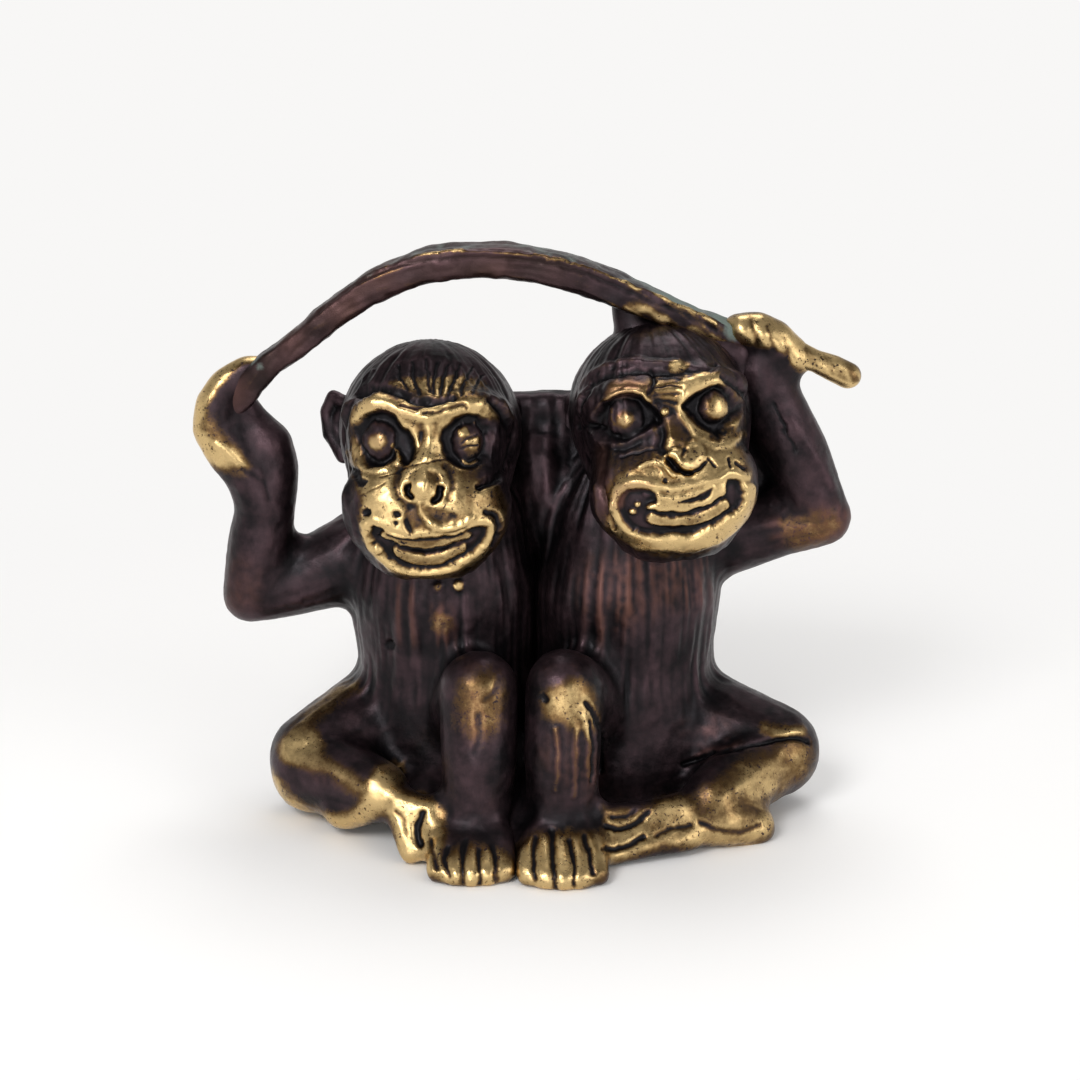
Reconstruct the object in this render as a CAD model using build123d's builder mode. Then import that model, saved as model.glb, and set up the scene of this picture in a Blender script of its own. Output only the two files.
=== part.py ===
from build123d import *
import os
from math import asin, cos, pi, sin, sqrt

# A cast brass ornament: two seated monkeys side by side, holding one long arched leaf over their heads.
# Left and right are the viewer's. +X is the viewer's right, -Y is towards the viewer, +Z is up.
# The origin is on the floor, under the left torso and close to the seam between the two backs.

# Overall sizes, in millimetres: every place is a share of these three
half_width = 34.0
half_depth = 20.0
height = 60.0

# Torsos
hip_radius = 10.8
waist_radius = 9.5
chest_radius = 10.0
collar_radius = 9.2
neck_radius = 6.4

# Heads
head_pitch = 10.0
left_head_roll = 0.0
left_head_yaw = -1.0
right_head_roll = 7.0
right_head_yaw = 1.5
head_depth = 19.2
head_height = 21.2
crown_radius = 9.2
jaw_radius = 7.7
cheek_width = 15.8
cheek_radius = 4.9
muzzle_width = 15.4
muzzle_radius = 5.4
ear_radius = 1.7
ear_height = 6.6
brow_radius = 1.4
socket_radius = 3.1
eyeball_radius = 1.75
eye_spacing = 9.2
nose_radius = 1.9
nose_bridge_radius = 1.3
nostril_radius = 1.2
nostril_spacing = 3.9
lip_groove_radius = 0.5

# Outer arms
shoulder_radius = 4.8
upper_arm_radius = 3.7
elbow_radius = 2.95
forearm_radius = 3.2
wrist_radius = 2.7
arm_web_radius = 3.5

# Inner arms: the left one lies behind the right monkey's shoulders, the right one in front of it
inner_shoulder_radius = 4.2
inner_elbow_radius = 3.9
inner_wrist_radius = 2.7

# Hands
palm_radius = 2.9
knuckle_radius = 1.55
fingertip_radius = 1.15
thumb_radius = 1.35
left_finger_pitch = 2.1
right_finger_pitch = 1.75
right_finger_radius = 0.95
finger_count = 4

# Legs
outer_hip_radius = 7.0
outer_knee_radius = 4.9
outer_shin_radius = 4.2
outer_ankle_radius = 3.2
inner_hip_radius = 5.0
inner_knee_radius = 3.9
inner_shin_radius = 3.75
inner_ankle_radius = 3.3

# Feet
heel_radius = 2.6
outer_ball_radius = 2.5
inner_ball_width = 8.4
inner_ball_radius = 2.4
inner_toe_radius = 0.8
outer_toe_radius = 0.85
inner_toe_pitch = 1.62
outer_toe_pitch = 1.35
inner_toe_count = 5
outer_toe_count = 4

# Leaf and stalk
leaf_thickness = 2.8
leaf_depth = 4.6
leaf_edge_radius = 0.7
stalk_radius = 1.3
leaf_rest_depth = 5.0

# Places, as shares of half_width, half_depth and height
seam_share = 0.02
left_torso_shares = (
    (-0.26, 0.15, 0.07),
    (-0.25, 0.15, 0.25),
    (-0.258, 0.15, 0.38),
    (-0.26, 0.18, 0.48),
    (-0.265, 0.2, 0.58),
)
right_torso_shares = (
    (0.312, 0.15, 0.07),
    (0.298, 0.15, 0.25),
    (0.306, 0.15, 0.38),
    (0.32, 0.18, 0.48),
    (0.33, 0.2, 0.58),
)

left_place_shares = {
    "head": (-0.291, -0.1, 0.64),
    "shoulder": (-0.5, 0.175, 0.435),
    "upper_arm": (-0.7, 0.12, 0.393),
    "elbow": (-0.858, 0.05, 0.372),
    "forearm": (-0.822, 0.05, 0.48),
    "wrist": (-0.79, 0.05, 0.597),
    "palm": (-0.815, 0.04, 0.635),
    "knuckle": (-0.944, 0.025, 0.687),
    "finger_bend": (-0.925, 0.025, 0.73),
    "fingertip": (-0.84, 0.025, 0.773),
    "thumb_root": (-0.765, -0.02, 0.64),
    "thumb_tip": (-0.785, -0.13, 0.683),
    "inner_shoulder": (-0.1, 0.46, 0.5),
    "inner_elbow": (0.06, 0.51, 0.635),
    "inner_wrist": (0.3, 0.6, 0.6),
    "outer_hip": (-0.37, 0.15, 0.14),
    "outer_knee": (-0.657, -0.2, 0.096),
    "outer_ankle": (-0.43, -0.6, 0.068),
    "outer_heel": (-0.6, -0.42, 0.038),
    "outer_ball": (-0.36, -0.675, 0.04),
    "outer_toe": (-0.305, -0.9, 0.02),
    "inner_hip": (-0.19, 0.0, 0.125),
    "inner_knee": (-0.142, -0.6, 0.277),
    "inner_shin": (-0.142, -0.7, 0.17),
    "inner_ankle": (-0.15, -0.73, 0.075),
    "inner_heel": (-0.15, -0.68, 0.033),
    "inner_ball": (-0.16, -0.88, 0.026),
    "inner_toe": (-0.162, -1.12, 0.012),
}
right_place_shares = {
    "head": (0.409, -0.1, 0.672),
    "shoulder": (0.6, 0.175, 0.475),
    "upper_arm": (0.78, 0.12, 0.5),
    "arm_web": (0.7, 0.25, 0.735),
    "elbow": (0.912, 0.05, 0.515),
    "forearm": (0.815, 0.05, 0.63),
    "wrist": (0.722, 0.05, 0.742),
    "palm": (0.725, 0.05, 0.782),
    "inner_shoulder": (0.09, 0.17, 0.5),
    "inner_elbow": (0.03, 0.14, 0.61),
    "inner_wrist": (-0.1, 0.16, 0.57),
    "outer_hip": (0.41, 0.15, 0.13),
    "outer_knee": (0.768, -0.14, 0.1),
    "outer_ankle": (0.56, -0.58, 0.07),
    "outer_heel": (0.655, -0.62, 0.04),
    "outer_ball": (0.4, -0.675, 0.042),
    "outer_toe": (0.235, -0.86, 0.02),
    "inner_hip": (0.22, 0.0, 0.125),
    "inner_knee": (0.112, -0.6, 0.28),
    "inner_shin": (0.105, -0.71, 0.17),
    "inner_ankle": (0.108, -0.74, 0.075),
    "inner_heel": (0.108, -0.7, 0.035),
    "inner_ball": (0.1, -0.91, 0.028),
    "inner_toe": (0.085, -1.17, 0.012),
}

leaf_line_shares = (
    (-0.885, 0.71),
    (-0.685, 0.828),
    (-0.43, 0.931),
    (-0.125, 0.967),
    (0.19, 0.931),
    (0.44, 0.866),
    (0.665, 0.823),
)
leaf_back_share = 0.025
leaf_thickness_shares = (0.55, 0.93, 1.0, 0.9, 1.0, 1.12, 0.9)
leaf_depth_shares = (0.45, 0.8, 0.95, 1.0, 1.0, 0.95, 0.62)
stalk_shares = ((0.64, 0.02, 0.825), (0.8, 0.02, 0.805), (0.96, 0.0, 0.775))
leaf_rest_shares = ((0.255, 0.895), (0.265, 0.83), (0.255, 0.775), (0.42, 0.75), (0.66, 0.77), (0.66, 0.83))

# Places on a head, as shares of half its widest width, of head_depth and of head_height
crown_shares = (0.0, 0.045, 0.113)
jaw_shares = (0.0, -0.03, -0.113)
cheek_shares = (0.0, -0.203, 0.094)
muzzle_shares = (0.0, -0.375, -0.264)
ear_shares = (1.05, 0.17, 0.1)
brow_shares = ((0.83, -0.24, 0.24), (0.53, -0.42, 0.3), (0.0, -0.44, 0.23))
eye_shares = (-0.5, 0.118)
eyeball_back_share = 0.1
nose_bridge_shares = (0.0, -0.44, 0.09)
nose_tip_shares = (0.0, -0.615, -0.12)
nostril_shares = (-0.63, -0.15)

# Lines of the mouth, as shares of half the muzzle's width and of its radius
upper_lip_shares = ((-0.84, 0.3), (-0.6, -0.05), (0.0, -0.2), (0.6, -0.05), (0.84, 0.3))
lower_lip_shares = ((-0.84, 0.3), (-0.6, -0.4), (0.0, -0.62), (0.6, -0.4), (0.84, 0.3))

# Every piece made so far with its bounding box, in the order in which they are seated
seated_pieces = []


def spot(share):
    """A place in the part's frame from its three shares."""
    return Vector(share[0] * half_width, share[1] * half_depth, share[2] * height)


def ball(place, radius):
    """A ball round a place."""
    return Solid.make_sphere(radius, Plane(place))


def stretch(start, start_radius, end, end_radius):
    """A round stretch of limb: a ball at each end and a cone that touches both."""
    way = Vector(end) - Vector(start)
    lean = asin((start_radius - end_radius) / way.length)
    touch = pi / 2 - lean
    side = way.cross(Vector(0, 0, 1))
    if side.length < start_radius * sin(pi / 180):
        side = way.cross(Vector(0, 1, 0))
    outline_plane = Plane(origin=start, x_dir=way, z_dir=side.normalized())

    def rim(middle, radius, angle):
        return (middle + radius * cos(angle), radius * sin(angle))

    with BuildSketch(outline_plane, mode=Mode.PRIVATE) as outline:
        with BuildLine():
            near = ThreePointArc(
                rim(0, start_radius, pi),
                rim(0, start_radius, (pi + touch) / 2),
                rim(0, start_radius, touch),
            )
            cone = Line(near @ 1, rim(way.length, end_radius, touch))
            far = ThreePointArc(
                cone @ 1,
                rim(way.length, end_radius, touch / 2),
                rim(way.length, end_radius, 0),
            )
            Line(far @ 1, near @ 0)
        make_face()
    return revolve(outline.sketch, axis=Axis(start, way), mode=Mode.PRIVATE).solid()


def limb(*stations):
    """The stretches of a bent limb through several (place, radius) stations."""
    return [
        stretch(start, start_radius, end, end_radius)
        for (start, start_radius), (end, end_radius) in zip(stations, stations[1:])
    ]


def side_by_side(pitch, count):
    """The shifts of a row of fingers or toes about its middle."""
    return [pitch * (number - (count - 1) / 2) for number in range(count)]


def toes(root, tip, pitch, count, radius):
    """A row of straight toes."""
    return [stretch(root + shift, radius, tip + shift, radius) for shift in side_by_side(pitch, count)]


def boxes_meet(a, b):
    """Whether two bounding boxes reach each other."""
    return all(
        low <= high
        for low, high in zip(
            (a.min.X, a.min.Y, a.min.Z, b.min.X, b.min.Y, b.min.Z),
            (b.max.X, b.max.Y, b.max.Z, a.max.X, a.max.Y, a.max.Z),
        )
    )


def seat(form, name):
    """Seats a form face to face on the pieces made before it, stands it on the floor and writes it."""
    box = form.bounding_box(optimal=False)
    neighbours = [piece for piece, piece_box in seated_pieces if boxes_meet(box, piece_box)]
    with BuildPart() as piece:
        add(form)
        if neighbours:
            add(neighbours, mode=Mode.SUBTRACT)
        if box.min.Z < 0:
            split(bisect_by=Plane.XY, keep=Keep.TOP)
    seated = piece.part.solids().sort_by(SortBy.VOLUME)[-1]
    seated.label = name
    seated_pieces.append((seated, box))
    export_step(seated, f"parts/{name}.step")


def torso(shares, seam, kept):
    """A torso that swells from the hips to the chest and narrows to the neck, cut at the seam."""
    radii = (hip_radius, waist_radius, chest_radius, collar_radius, neck_radius)
    with BuildPart() as form:
        add(limb(*[(spot(share), radius) for share, radius in zip(shares, radii)]))
        split(bisect_by=seam, keep=kept)
    return form.part


def head_spot(share):
    """A place in a head's own frame from its three shares."""
    return Vector(share[0] * crown_radius, share[1] * head_depth, share[2] * head_height)


def bar(middle, width, radius):
    """A bar with round ends that lies across a head or foot, of a full width."""
    half = Vector(width / 2 - radius, 0, 0)
    return stretch(middle - half, radius, middle + half, radius)


def on_muzzle(share):
    """A place on the front of the muzzle from its shares across and up."""
    across, up = share[0] * muzzle_width / 2, share[1] * muzzle_radius
    beyond = max(0, abs(across) - (muzzle_width / 2 - muzzle_radius))
    forward = sqrt(muzzle_radius**2 - beyond**2 - up**2)
    return head_spot(muzzle_shares) + Vector(across, -forward, up)


def head():
    """A monkey's head in its own frame: skull, cheeks, muzzle, ears, brow, eyes, nose and mouth."""
    eye_back, eye_up = eye_shares
    nostril_back, nostril_up = nostril_shares
    eye_out = eye_spacing / crown_radius / 2
    nostril_out = nostril_spacing / crown_radius / 2
    ear_out, ear_back, ear_up = ear_shares
    ear_half = Vector(0, 0, ear_height / 2 - ear_radius)
    with BuildPart() as form:
        add(stretch(head_spot(crown_shares), crown_radius, head_spot(jaw_shares), jaw_radius))
        add(bar(head_spot(cheek_shares), cheek_width, cheek_radius))
        add(bar(head_spot(muzzle_shares), muzzle_width, muzzle_radius))
        for side in (-1, 1):
            ear = head_spot((side * ear_out, ear_back, ear_up))
            add(stretch(ear - ear_half, ear_radius, ear + ear_half, ear_radius))
            add(limb(*[(head_spot((side * out, back, up)), brow_radius) for out, back, up in brow_shares]))
        sockets = [ball(head_spot((side * eye_out, eye_back, eye_up)), socket_radius) for side in (-1, 1)]
        add(sockets, mode=Mode.SUBTRACT)
        for line in (upper_lip_shares, lower_lip_shares):
            add(limb(*[(on_muzzle(share), lip_groove_radius) for share in line]), mode=Mode.SUBTRACT)
        for side in (-1, 1):
            add(ball(head_spot((side * eye_out, eye_back + eyeball_back_share, eye_up)), eyeball_radius))
            add(ball(head_spot((side * nostril_out, nostril_back, nostril_up)), nostril_radius))
        add(stretch(head_spot(nose_bridge_shares), nose_bridge_radius, head_spot(nose_tip_shares), nose_radius))
    return form.part


def main():
    os.makedirs("parts", exist_ok=True)
    monkeys = {"left": left_place_shares, "right": right_place_shares}
    place = {side: {name: spot(share) for name, share in shares.items()} for side, shares in monkeys.items()}

    # Leaf, lofted through rounded bars along its arched middle line
    with BuildLine() as leaf_line:
        Spline(*[spot((x, leaf_back_share, z)) for x, z in leaf_line_shares])
    sections = []
    spans = len(leaf_line_shares) - 1
    for number, (thick, deep) in enumerate(zip(leaf_thickness_shares, leaf_depth_shares)):
        along = leaf_line.line % (number / spans)
        middle = leaf_line.line @ (number / spans)
        with BuildSketch(Plane(origin=middle, x_dir=(0, 1, 0), z_dir=along), mode=Mode.PRIVATE) as section:
            RectangleRounded(leaf_depth * deep, leaf_thickness * thick, leaf_edge_radius)
        sections.append(section.sketch)
    with BuildPart() as leaf_form:
        loft(sections)
    seat(leaf_form.part, "leaf")

    # Stalk, which runs on from the leaf through the right hand
    with BuildPart() as stalk_form:
        add(limb(*[(spot(share), stalk_radius) for share in stalk_shares]))
    seat(stalk_form.part, "leaf_stalk")

    # Heads, both looking up a little
    both_heads = head()
    for side, roll, yaw in (
        ("left", left_head_roll, left_head_yaw),
        ("right", right_head_roll, right_head_yaw),
    ):
        frame = Plane(place[side]["head"]).rotated((-head_pitch, -roll, yaw))
        seat(both_heads.moved(frame.location), f"{side}_head")

    # Torsos
    seam = Plane.YZ.offset(seam_share * half_width)
    seat(torso(left_torso_shares, seam, Keep.BOTTOM), "left_torso")
    seat(torso(right_torso_shares, seam, Keep.TOP), "right_torso")

    # Lump of metal between the leaf and the right monkey's crown
    rest_plane = Plane.XZ.offset(-leaf_back_share * half_depth)
    with BuildPart() as rest_form:
        with BuildSketch(rest_plane):
            with BuildLine():
                Polyline(*[(x * half_width, z * height) for x, z in leaf_rest_shares], close=True)
            make_face()
        extrude(amount=-leaf_rest_depth)
    seat(rest_form.part, "leaf_rest")

    # Outer legs: thigh out to the knee, shin back to the ankle, foot on the floor
    for side, at in place.items():
        with BuildPart() as thigh_form:
            add(stretch(at["outer_hip"], outer_hip_radius, at["outer_knee"], outer_knee_radius))
        seat(thigh_form.part, f"{side}_outer_thigh")
        with BuildPart() as shin_form:
            add(stretch(at["outer_knee"], outer_shin_radius, at["outer_ankle"], outer_ankle_radius))
        seat(shin_form.part, f"{side}_outer_shin")
        way = (at["outer_toe"] - at["outer_ball"]).normalized()
        across = Vector(0, 0, 1).cross(way) * outer_toe_pitch
        with BuildPart() as foot_form:
            add(stretch(at["outer_heel"], heel_radius, at["outer_ball"], outer_ball_radius))
            add(toes(at["outer_ball"], at["outer_toe"], across, outer_toe_count, outer_toe_radius))
        seat(foot_form.part, f"{side}_outer_foot")

    # Inner legs, drawn up in front: thigh to the raised knee, upright shin, foot with toes in front
    for side, at in place.items():
        with BuildPart() as thigh_form:
            add(stretch(at["inner_hip"], inner_hip_radius, at["inner_knee"], inner_knee_radius))
        seat(thigh_form.part, f"{side}_inner_thigh")
        with BuildPart() as shin_form:
            add(
                limb(
                    (at["inner_knee"], inner_knee_radius),
                    (at["inner_shin"], inner_shin_radius),
                    (at["inner_ankle"], inner_ankle_radius),
                )
            )
        seat(shin_form.part, f"{side}_inner_shin")
        across = Vector(inner_toe_pitch, 0, 0)
        with BuildPart() as foot_form:
            add(stretch(at["inner_heel"], heel_radius, at["inner_ball"], heel_radius))
            add(toes(at["inner_ball"], at["inner_toe"], across, inner_toe_count, inner_toe_radius))
            add(bar(at["inner_ball"], inner_ball_width, inner_ball_radius))
        seat(foot_form.part, f"{side}_inner_foot")

    # Outer arms, with the metal that fills the bend of the raised arm
    for side, at in place.items():
        with BuildPart() as upper_arm_form:
            add(
                limb(
                    (at["shoulder"], shoulder_radius),
                    (at["upper_arm"], upper_arm_radius),
                    (at["elbow"], elbow_radius),
                )
            )
            if "arm_web" in at:
                add(stretch(at["shoulder"], shoulder_radius, at["arm_web"], arm_web_radius))
        seat(upper_arm_form.part, f"{side}_upper_arm")
        with BuildPart() as forearm_form:
            add(
                limb(
                    (at["elbow"], elbow_radius),
                    (at["forearm"], forearm_radius),
                    (at["wrist"], wrist_radius),
                )
            )
        seat(forearm_form.part, f"{side}_forearm")

    # Left hand: the fingers come round the leaf's end from behind
    at = place["left"]
    with BuildPart() as left_hand_form:
        add(stretch(at["palm"], palm_radius, at["knuckle"], knuckle_radius))
        add(stretch(at["thumb_root"], thumb_radius, at["thumb_tip"], fingertip_radius))
        for shift in side_by_side(Vector(0, left_finger_pitch, 0), finger_count):
            add(
                limb(
                    (at["knuckle"] + shift, knuckle_radius),
                    (at["finger_bend"] + shift, knuckle_radius),
                    (at["fingertip"] + shift, fingertip_radius),
                )
            )
    seat(left_hand_form.part, "left_hand")

    # Right hand: four fingers over the stalk, side by side along it
    at = place["right"]
    stalk_root, stalk_middle = spot(stalk_shares[0]), spot(stalk_shares[1])
    along = (stalk_middle - stalk_root).normalized() * right_finger_pitch
    grip = stalk_root + along * finger_count / 2
    reach = stalk_radius + right_finger_radius
    with BuildPart() as right_hand_form:
        add(stretch(at["wrist"], wrist_radius, at["palm"], palm_radius))
        for shift in side_by_side(along, finger_count):
            add(
                limb(
                    (grip + shift + Vector(0, reach, 0), right_finger_radius),
                    (grip + shift + Vector(0, 0, reach), right_finger_radius),
                    (grip + shift + Vector(0, -reach, 0), right_finger_radius),
                )
            )
    seat(right_hand_form.part, "right_hand")

    # Inner arms, which pass one behind the other between the heads
    for side, at in place.items():
        with BuildPart() as inner_arm_form:
            add(
                limb(
                    (at["inner_shoulder"], inner_shoulder_radius),
                    (at["inner_elbow"], inner_elbow_radius),
                    (at["inner_wrist"], inner_wrist_radius),
                )
            )
        seat(inner_arm_form.part, f"{side}_inner_arm")


main()
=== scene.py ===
import math
from functools import partial

import bmesh
import bpy
import numpy as np
from bpy.props import FloatProperty, FloatVectorProperty, PointerProperty
from mathutils import Matrix, Vector


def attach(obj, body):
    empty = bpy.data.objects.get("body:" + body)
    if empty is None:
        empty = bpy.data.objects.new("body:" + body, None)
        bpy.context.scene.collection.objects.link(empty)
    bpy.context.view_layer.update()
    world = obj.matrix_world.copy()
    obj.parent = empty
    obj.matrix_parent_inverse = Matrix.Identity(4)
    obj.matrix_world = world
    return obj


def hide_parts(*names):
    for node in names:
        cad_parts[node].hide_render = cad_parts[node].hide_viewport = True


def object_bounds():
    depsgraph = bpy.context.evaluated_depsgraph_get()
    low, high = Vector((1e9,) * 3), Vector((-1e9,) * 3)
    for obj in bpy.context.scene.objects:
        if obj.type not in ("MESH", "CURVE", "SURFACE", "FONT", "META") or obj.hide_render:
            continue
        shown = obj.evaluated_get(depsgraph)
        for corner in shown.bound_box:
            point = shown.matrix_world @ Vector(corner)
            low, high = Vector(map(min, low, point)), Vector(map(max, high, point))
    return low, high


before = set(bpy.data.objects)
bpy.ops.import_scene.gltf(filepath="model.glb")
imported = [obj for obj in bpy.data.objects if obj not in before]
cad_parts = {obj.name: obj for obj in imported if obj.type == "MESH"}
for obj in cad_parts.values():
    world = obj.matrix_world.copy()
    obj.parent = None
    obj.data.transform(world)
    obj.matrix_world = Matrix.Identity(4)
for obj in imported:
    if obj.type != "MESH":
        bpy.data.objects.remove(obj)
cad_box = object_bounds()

bl_info = {
    "name": "Two brass monkeys under a leaf",
    "version": (1, 0, 0),
    "blender": (4, 5, 0),
    "location": "3D View > Sidebar > Figurine",
    "description": "Sculpts the cast brass figurine of two seated monkeys around its packed frame",
    "category": "Object",
}

# Sculpting is done in millimetres, and a finished piece is brought to metres
MM = 0.001

# The viewpoint of the front drawing, on which faces, fur and rubbed spots are laid out.
# Places are in millimetres, the drawing's sheet and focal length in marks
VIEW_TARGET = Vector((1.33, 0.0, 28.6))
VIEW_DISTANCE = 230.0
VIEW_TILT = math.radians(18.0)
SHEET_MARKS = 1080
FOCAL_MARKS = 2201.0
SENSOR_WIDTH = 36.0
AHEAD = np.array((0, math.cos(VIEW_TILT), -math.sin(VIEW_TILT)))
UPWARD = np.array((0, math.sin(VIEW_TILT), math.cos(VIEW_TILT)))

# Point spacing while shapes are made to flow together, the fillet between them, and what is
# added at the end because relaxing shrinks them, all in millimetres
HEAD_FLOW = {"grain": 0.3, "fillet": 1.3, "make_up": 0.25, "relaxing": (10, 8, 12)}
BODY_FLOW = {"grain": 0.36, "make_up": 0.12, "relaxing": (6, 4, 9)}
PROP_FLOW = {"grain": 0.25, "fillet": 0.8, "make_up": 0.0, "relaxing": (3, 3, 6)}
LEAF_GRAIN = 0.16
# A piece with more triangles than this is thinned
MOST_TRIANGLES = 190_000
# Blurring rounds that a point's height is compared with: over the wider form, and over fine relief
WIDE_BLUR = 60
FINE_BLUR = {"head": 12, "body": 14, "leaf": 10}
# What a millimetre of fine relief takes off the stored hollow, where 0.5 is level and 1 deep
LEVEL = 0.5
FINE_HOLLOW, THIN_PIECE_HOLLOW = 2.5, 3.0
# A surface that is turned toward the viewer by the first of these starts to be cut, by the second is cut fully
FRONT = (0.05, 0.4)


def linear(hex_colour):
    """An sRGB hex colour as linear RGB."""
    channels = [int(hex_colour[i : i + 2], 16) / 255 for i in (1, 3, 5)]
    return [c / 12.92 if c <= 0.04045 else ((c + 0.055) / 1.055) ** 2.4 for c in channels]


class FigurineSizes(bpy.types.PropertyGroup):
    head_grain: FloatProperty(
        name="Head grain", description="Spacing of the sculpted points on the heads",
        default=0.16 * MM, unit="LENGTH")
    body_grain: FloatProperty(
        name="Body grain", description="Spacing of the sculpted points on the bodies",
        default=0.2 * MM, unit="LENGTH")
    fillet: FloatProperty(
        name="Fillet", description="Radius of the metal that runs from limb to limb",
        default=0.9 * MM, unit="LENGTH")
    relief: FloatProperty(
        name="Face relief", description="Depth of the cuts and ridges in the faces",
        default=1.0, subtype="FACTOR")
    fur_depth: FloatProperty(
        name="Fur depth", description="Depth of the combed fur lines",
        default=0.16 * MM, unit="LENGTH")
    floor_radius: FloatProperty(
        name="Floor radius", description="Radius of the round floor",
        default=30 * (cad_box[1][0] - cad_box[0][0]), unit="LENGTH")


class FigurineFinish(bpy.types.PropertyGroup):
    patina_dark: FloatVectorProperty(
        name="Dark patina", description="Oxidised brass in the hollows",
        subtype="COLOR", default=linear("#131114"))
    patina_brown: FloatVectorProperty(
        name="Brown patina", description="Oxidised brass on the open surfaces",
        subtype="COLOR", default=linear("#4E3B40"))
    brass: FloatVectorProperty(
        name="Brass", description="Rubbed bare brass",
        subtype="COLOR", default=linear("#CFB27E"))
    brass_deep: FloatVectorProperty(
        name="Deep brass", description="Brass with a thin film left on it",
        subtype="COLOR", default=linear("#664E31"))
    copper: FloatVectorProperty(
        name="Copper", description="Thin warm film on half rubbed brass",
        subtype="COLOR", default=linear("#7F5446"))
    # grey green of real verdigris, also used as a painted reflection of the pale sky on the leaf's upward faces
    verdigris_and_sky_reflection: FloatVectorProperty(
        name="Verdigris", description="Grey green bloom on the leaf",
        subtype="COLOR", default=linear("#5E6A64"))
    floor: FloatVectorProperty(
        name="Floor", description="Pale paper sweep",
        subtype="COLOR", default=linear("#F8F7F6"))


def capsules(*chains):
    """A mesh of the hulls round each two neighbours in every chain of balls (x, y, z, radius)."""
    whole = bmesh.new()
    for chain in chains:
        for pair in zip(chain, chain[1:]):
            hull = bmesh.new()
            for x, y, z, radius in pair:
                bmesh.ops.create_icosphere(
                    hull, subdivisions=3 if radius < 3 else 4, radius=radius,
                    matrix=Matrix.Translation((x, y, z)),
                )
            bmesh.ops.delete(hull, geom=hull.edges[:], context="EDGES_FACES")
            made = bmesh.ops.convex_hull(hull, input=hull.verts[:])
            inner = [part for part in made["geom_interior"] if isinstance(part, bmesh.types.BMVert)]
            bmesh.ops.delete(hull, geom=inner, context="VERTS")
            bmesh.ops.recalc_face_normals(hull, faces=hull.faces[:])
            mesh = bpy.data.meshes.new("hull")
            hull.to_mesh(mesh)
            hull.free()
            whole.from_mesh(mesh)
            bpy.data.meshes.remove(mesh)
    return whole


def new_piece(name, shape):
    """An object made from a bmesh, which is used up."""
    mesh = bpy.data.meshes.new(name)
    shape.to_mesh(mesh)
    shape.free()
    piece = bpy.data.objects.new(name, mesh)
    bpy.context.scene.collection.objects.link(piece)
    return piece


def join_shape(piece, shape):
    """Adds the faces of a bmesh to a piece, and the bmesh is used up."""
    shape.from_mesh(piece.data)
    shape.to_mesh(piece.data)
    shape.free()


def work(piece, *steps):
    """Puts modifiers on a piece in order and keeps their result as its mesh."""
    for kind, settings in steps:
        modifier = piece.modifiers.new(kind.lower(), kind)
        for key, value in settings.items():
            setattr(modifier, key, value)
    graph = bpy.context.evaluated_depsgraph_get()
    mesh = bpy.data.meshes.new_from_object(piece.evaluated_get(graph))
    piece.modifiers.clear()
    old, piece.data = piece.data, mesh
    bpy.data.meshes.remove(old)


def remesh(grain):
    """One closed skin round everything, with points this far apart."""
    return ("REMESH", {"mode": "VOXEL", "voxel_size": grain, "use_smooth_shade": True})


def swell(amount):
    """Moves the skin outward, or inward below 0."""
    return ("DISPLACE", {"strength": amount, "mid_level": 0.0})


def relax(times):
    """Evens the skin out."""
    return ("SMOOTH", {"iterations": times, "factor": 0.5})


def flow_together(piece, grain, fillet, make_up, relaxing):
    """Joins overlapping shapes with fillets: they are swollen, made one skin and drawn in again."""
    first, second, last = relaxing
    work(
        piece,
        remesh(grain), relax(first), swell(fillet),
        remesh(grain), relax(second), swell(make_up - fillet), relax(last),
    )


def thinned(piece):
    """Takes out the points that a shape needs least, if it has too many triangles."""
    count = sum(len(face.vertices) - 2 for face in piece.data.polygons)
    if count > MOST_TRIANGLES:
        work(piece, ("DECIMATE", {"ratio": MOST_TRIANGLES / count}))


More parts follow.
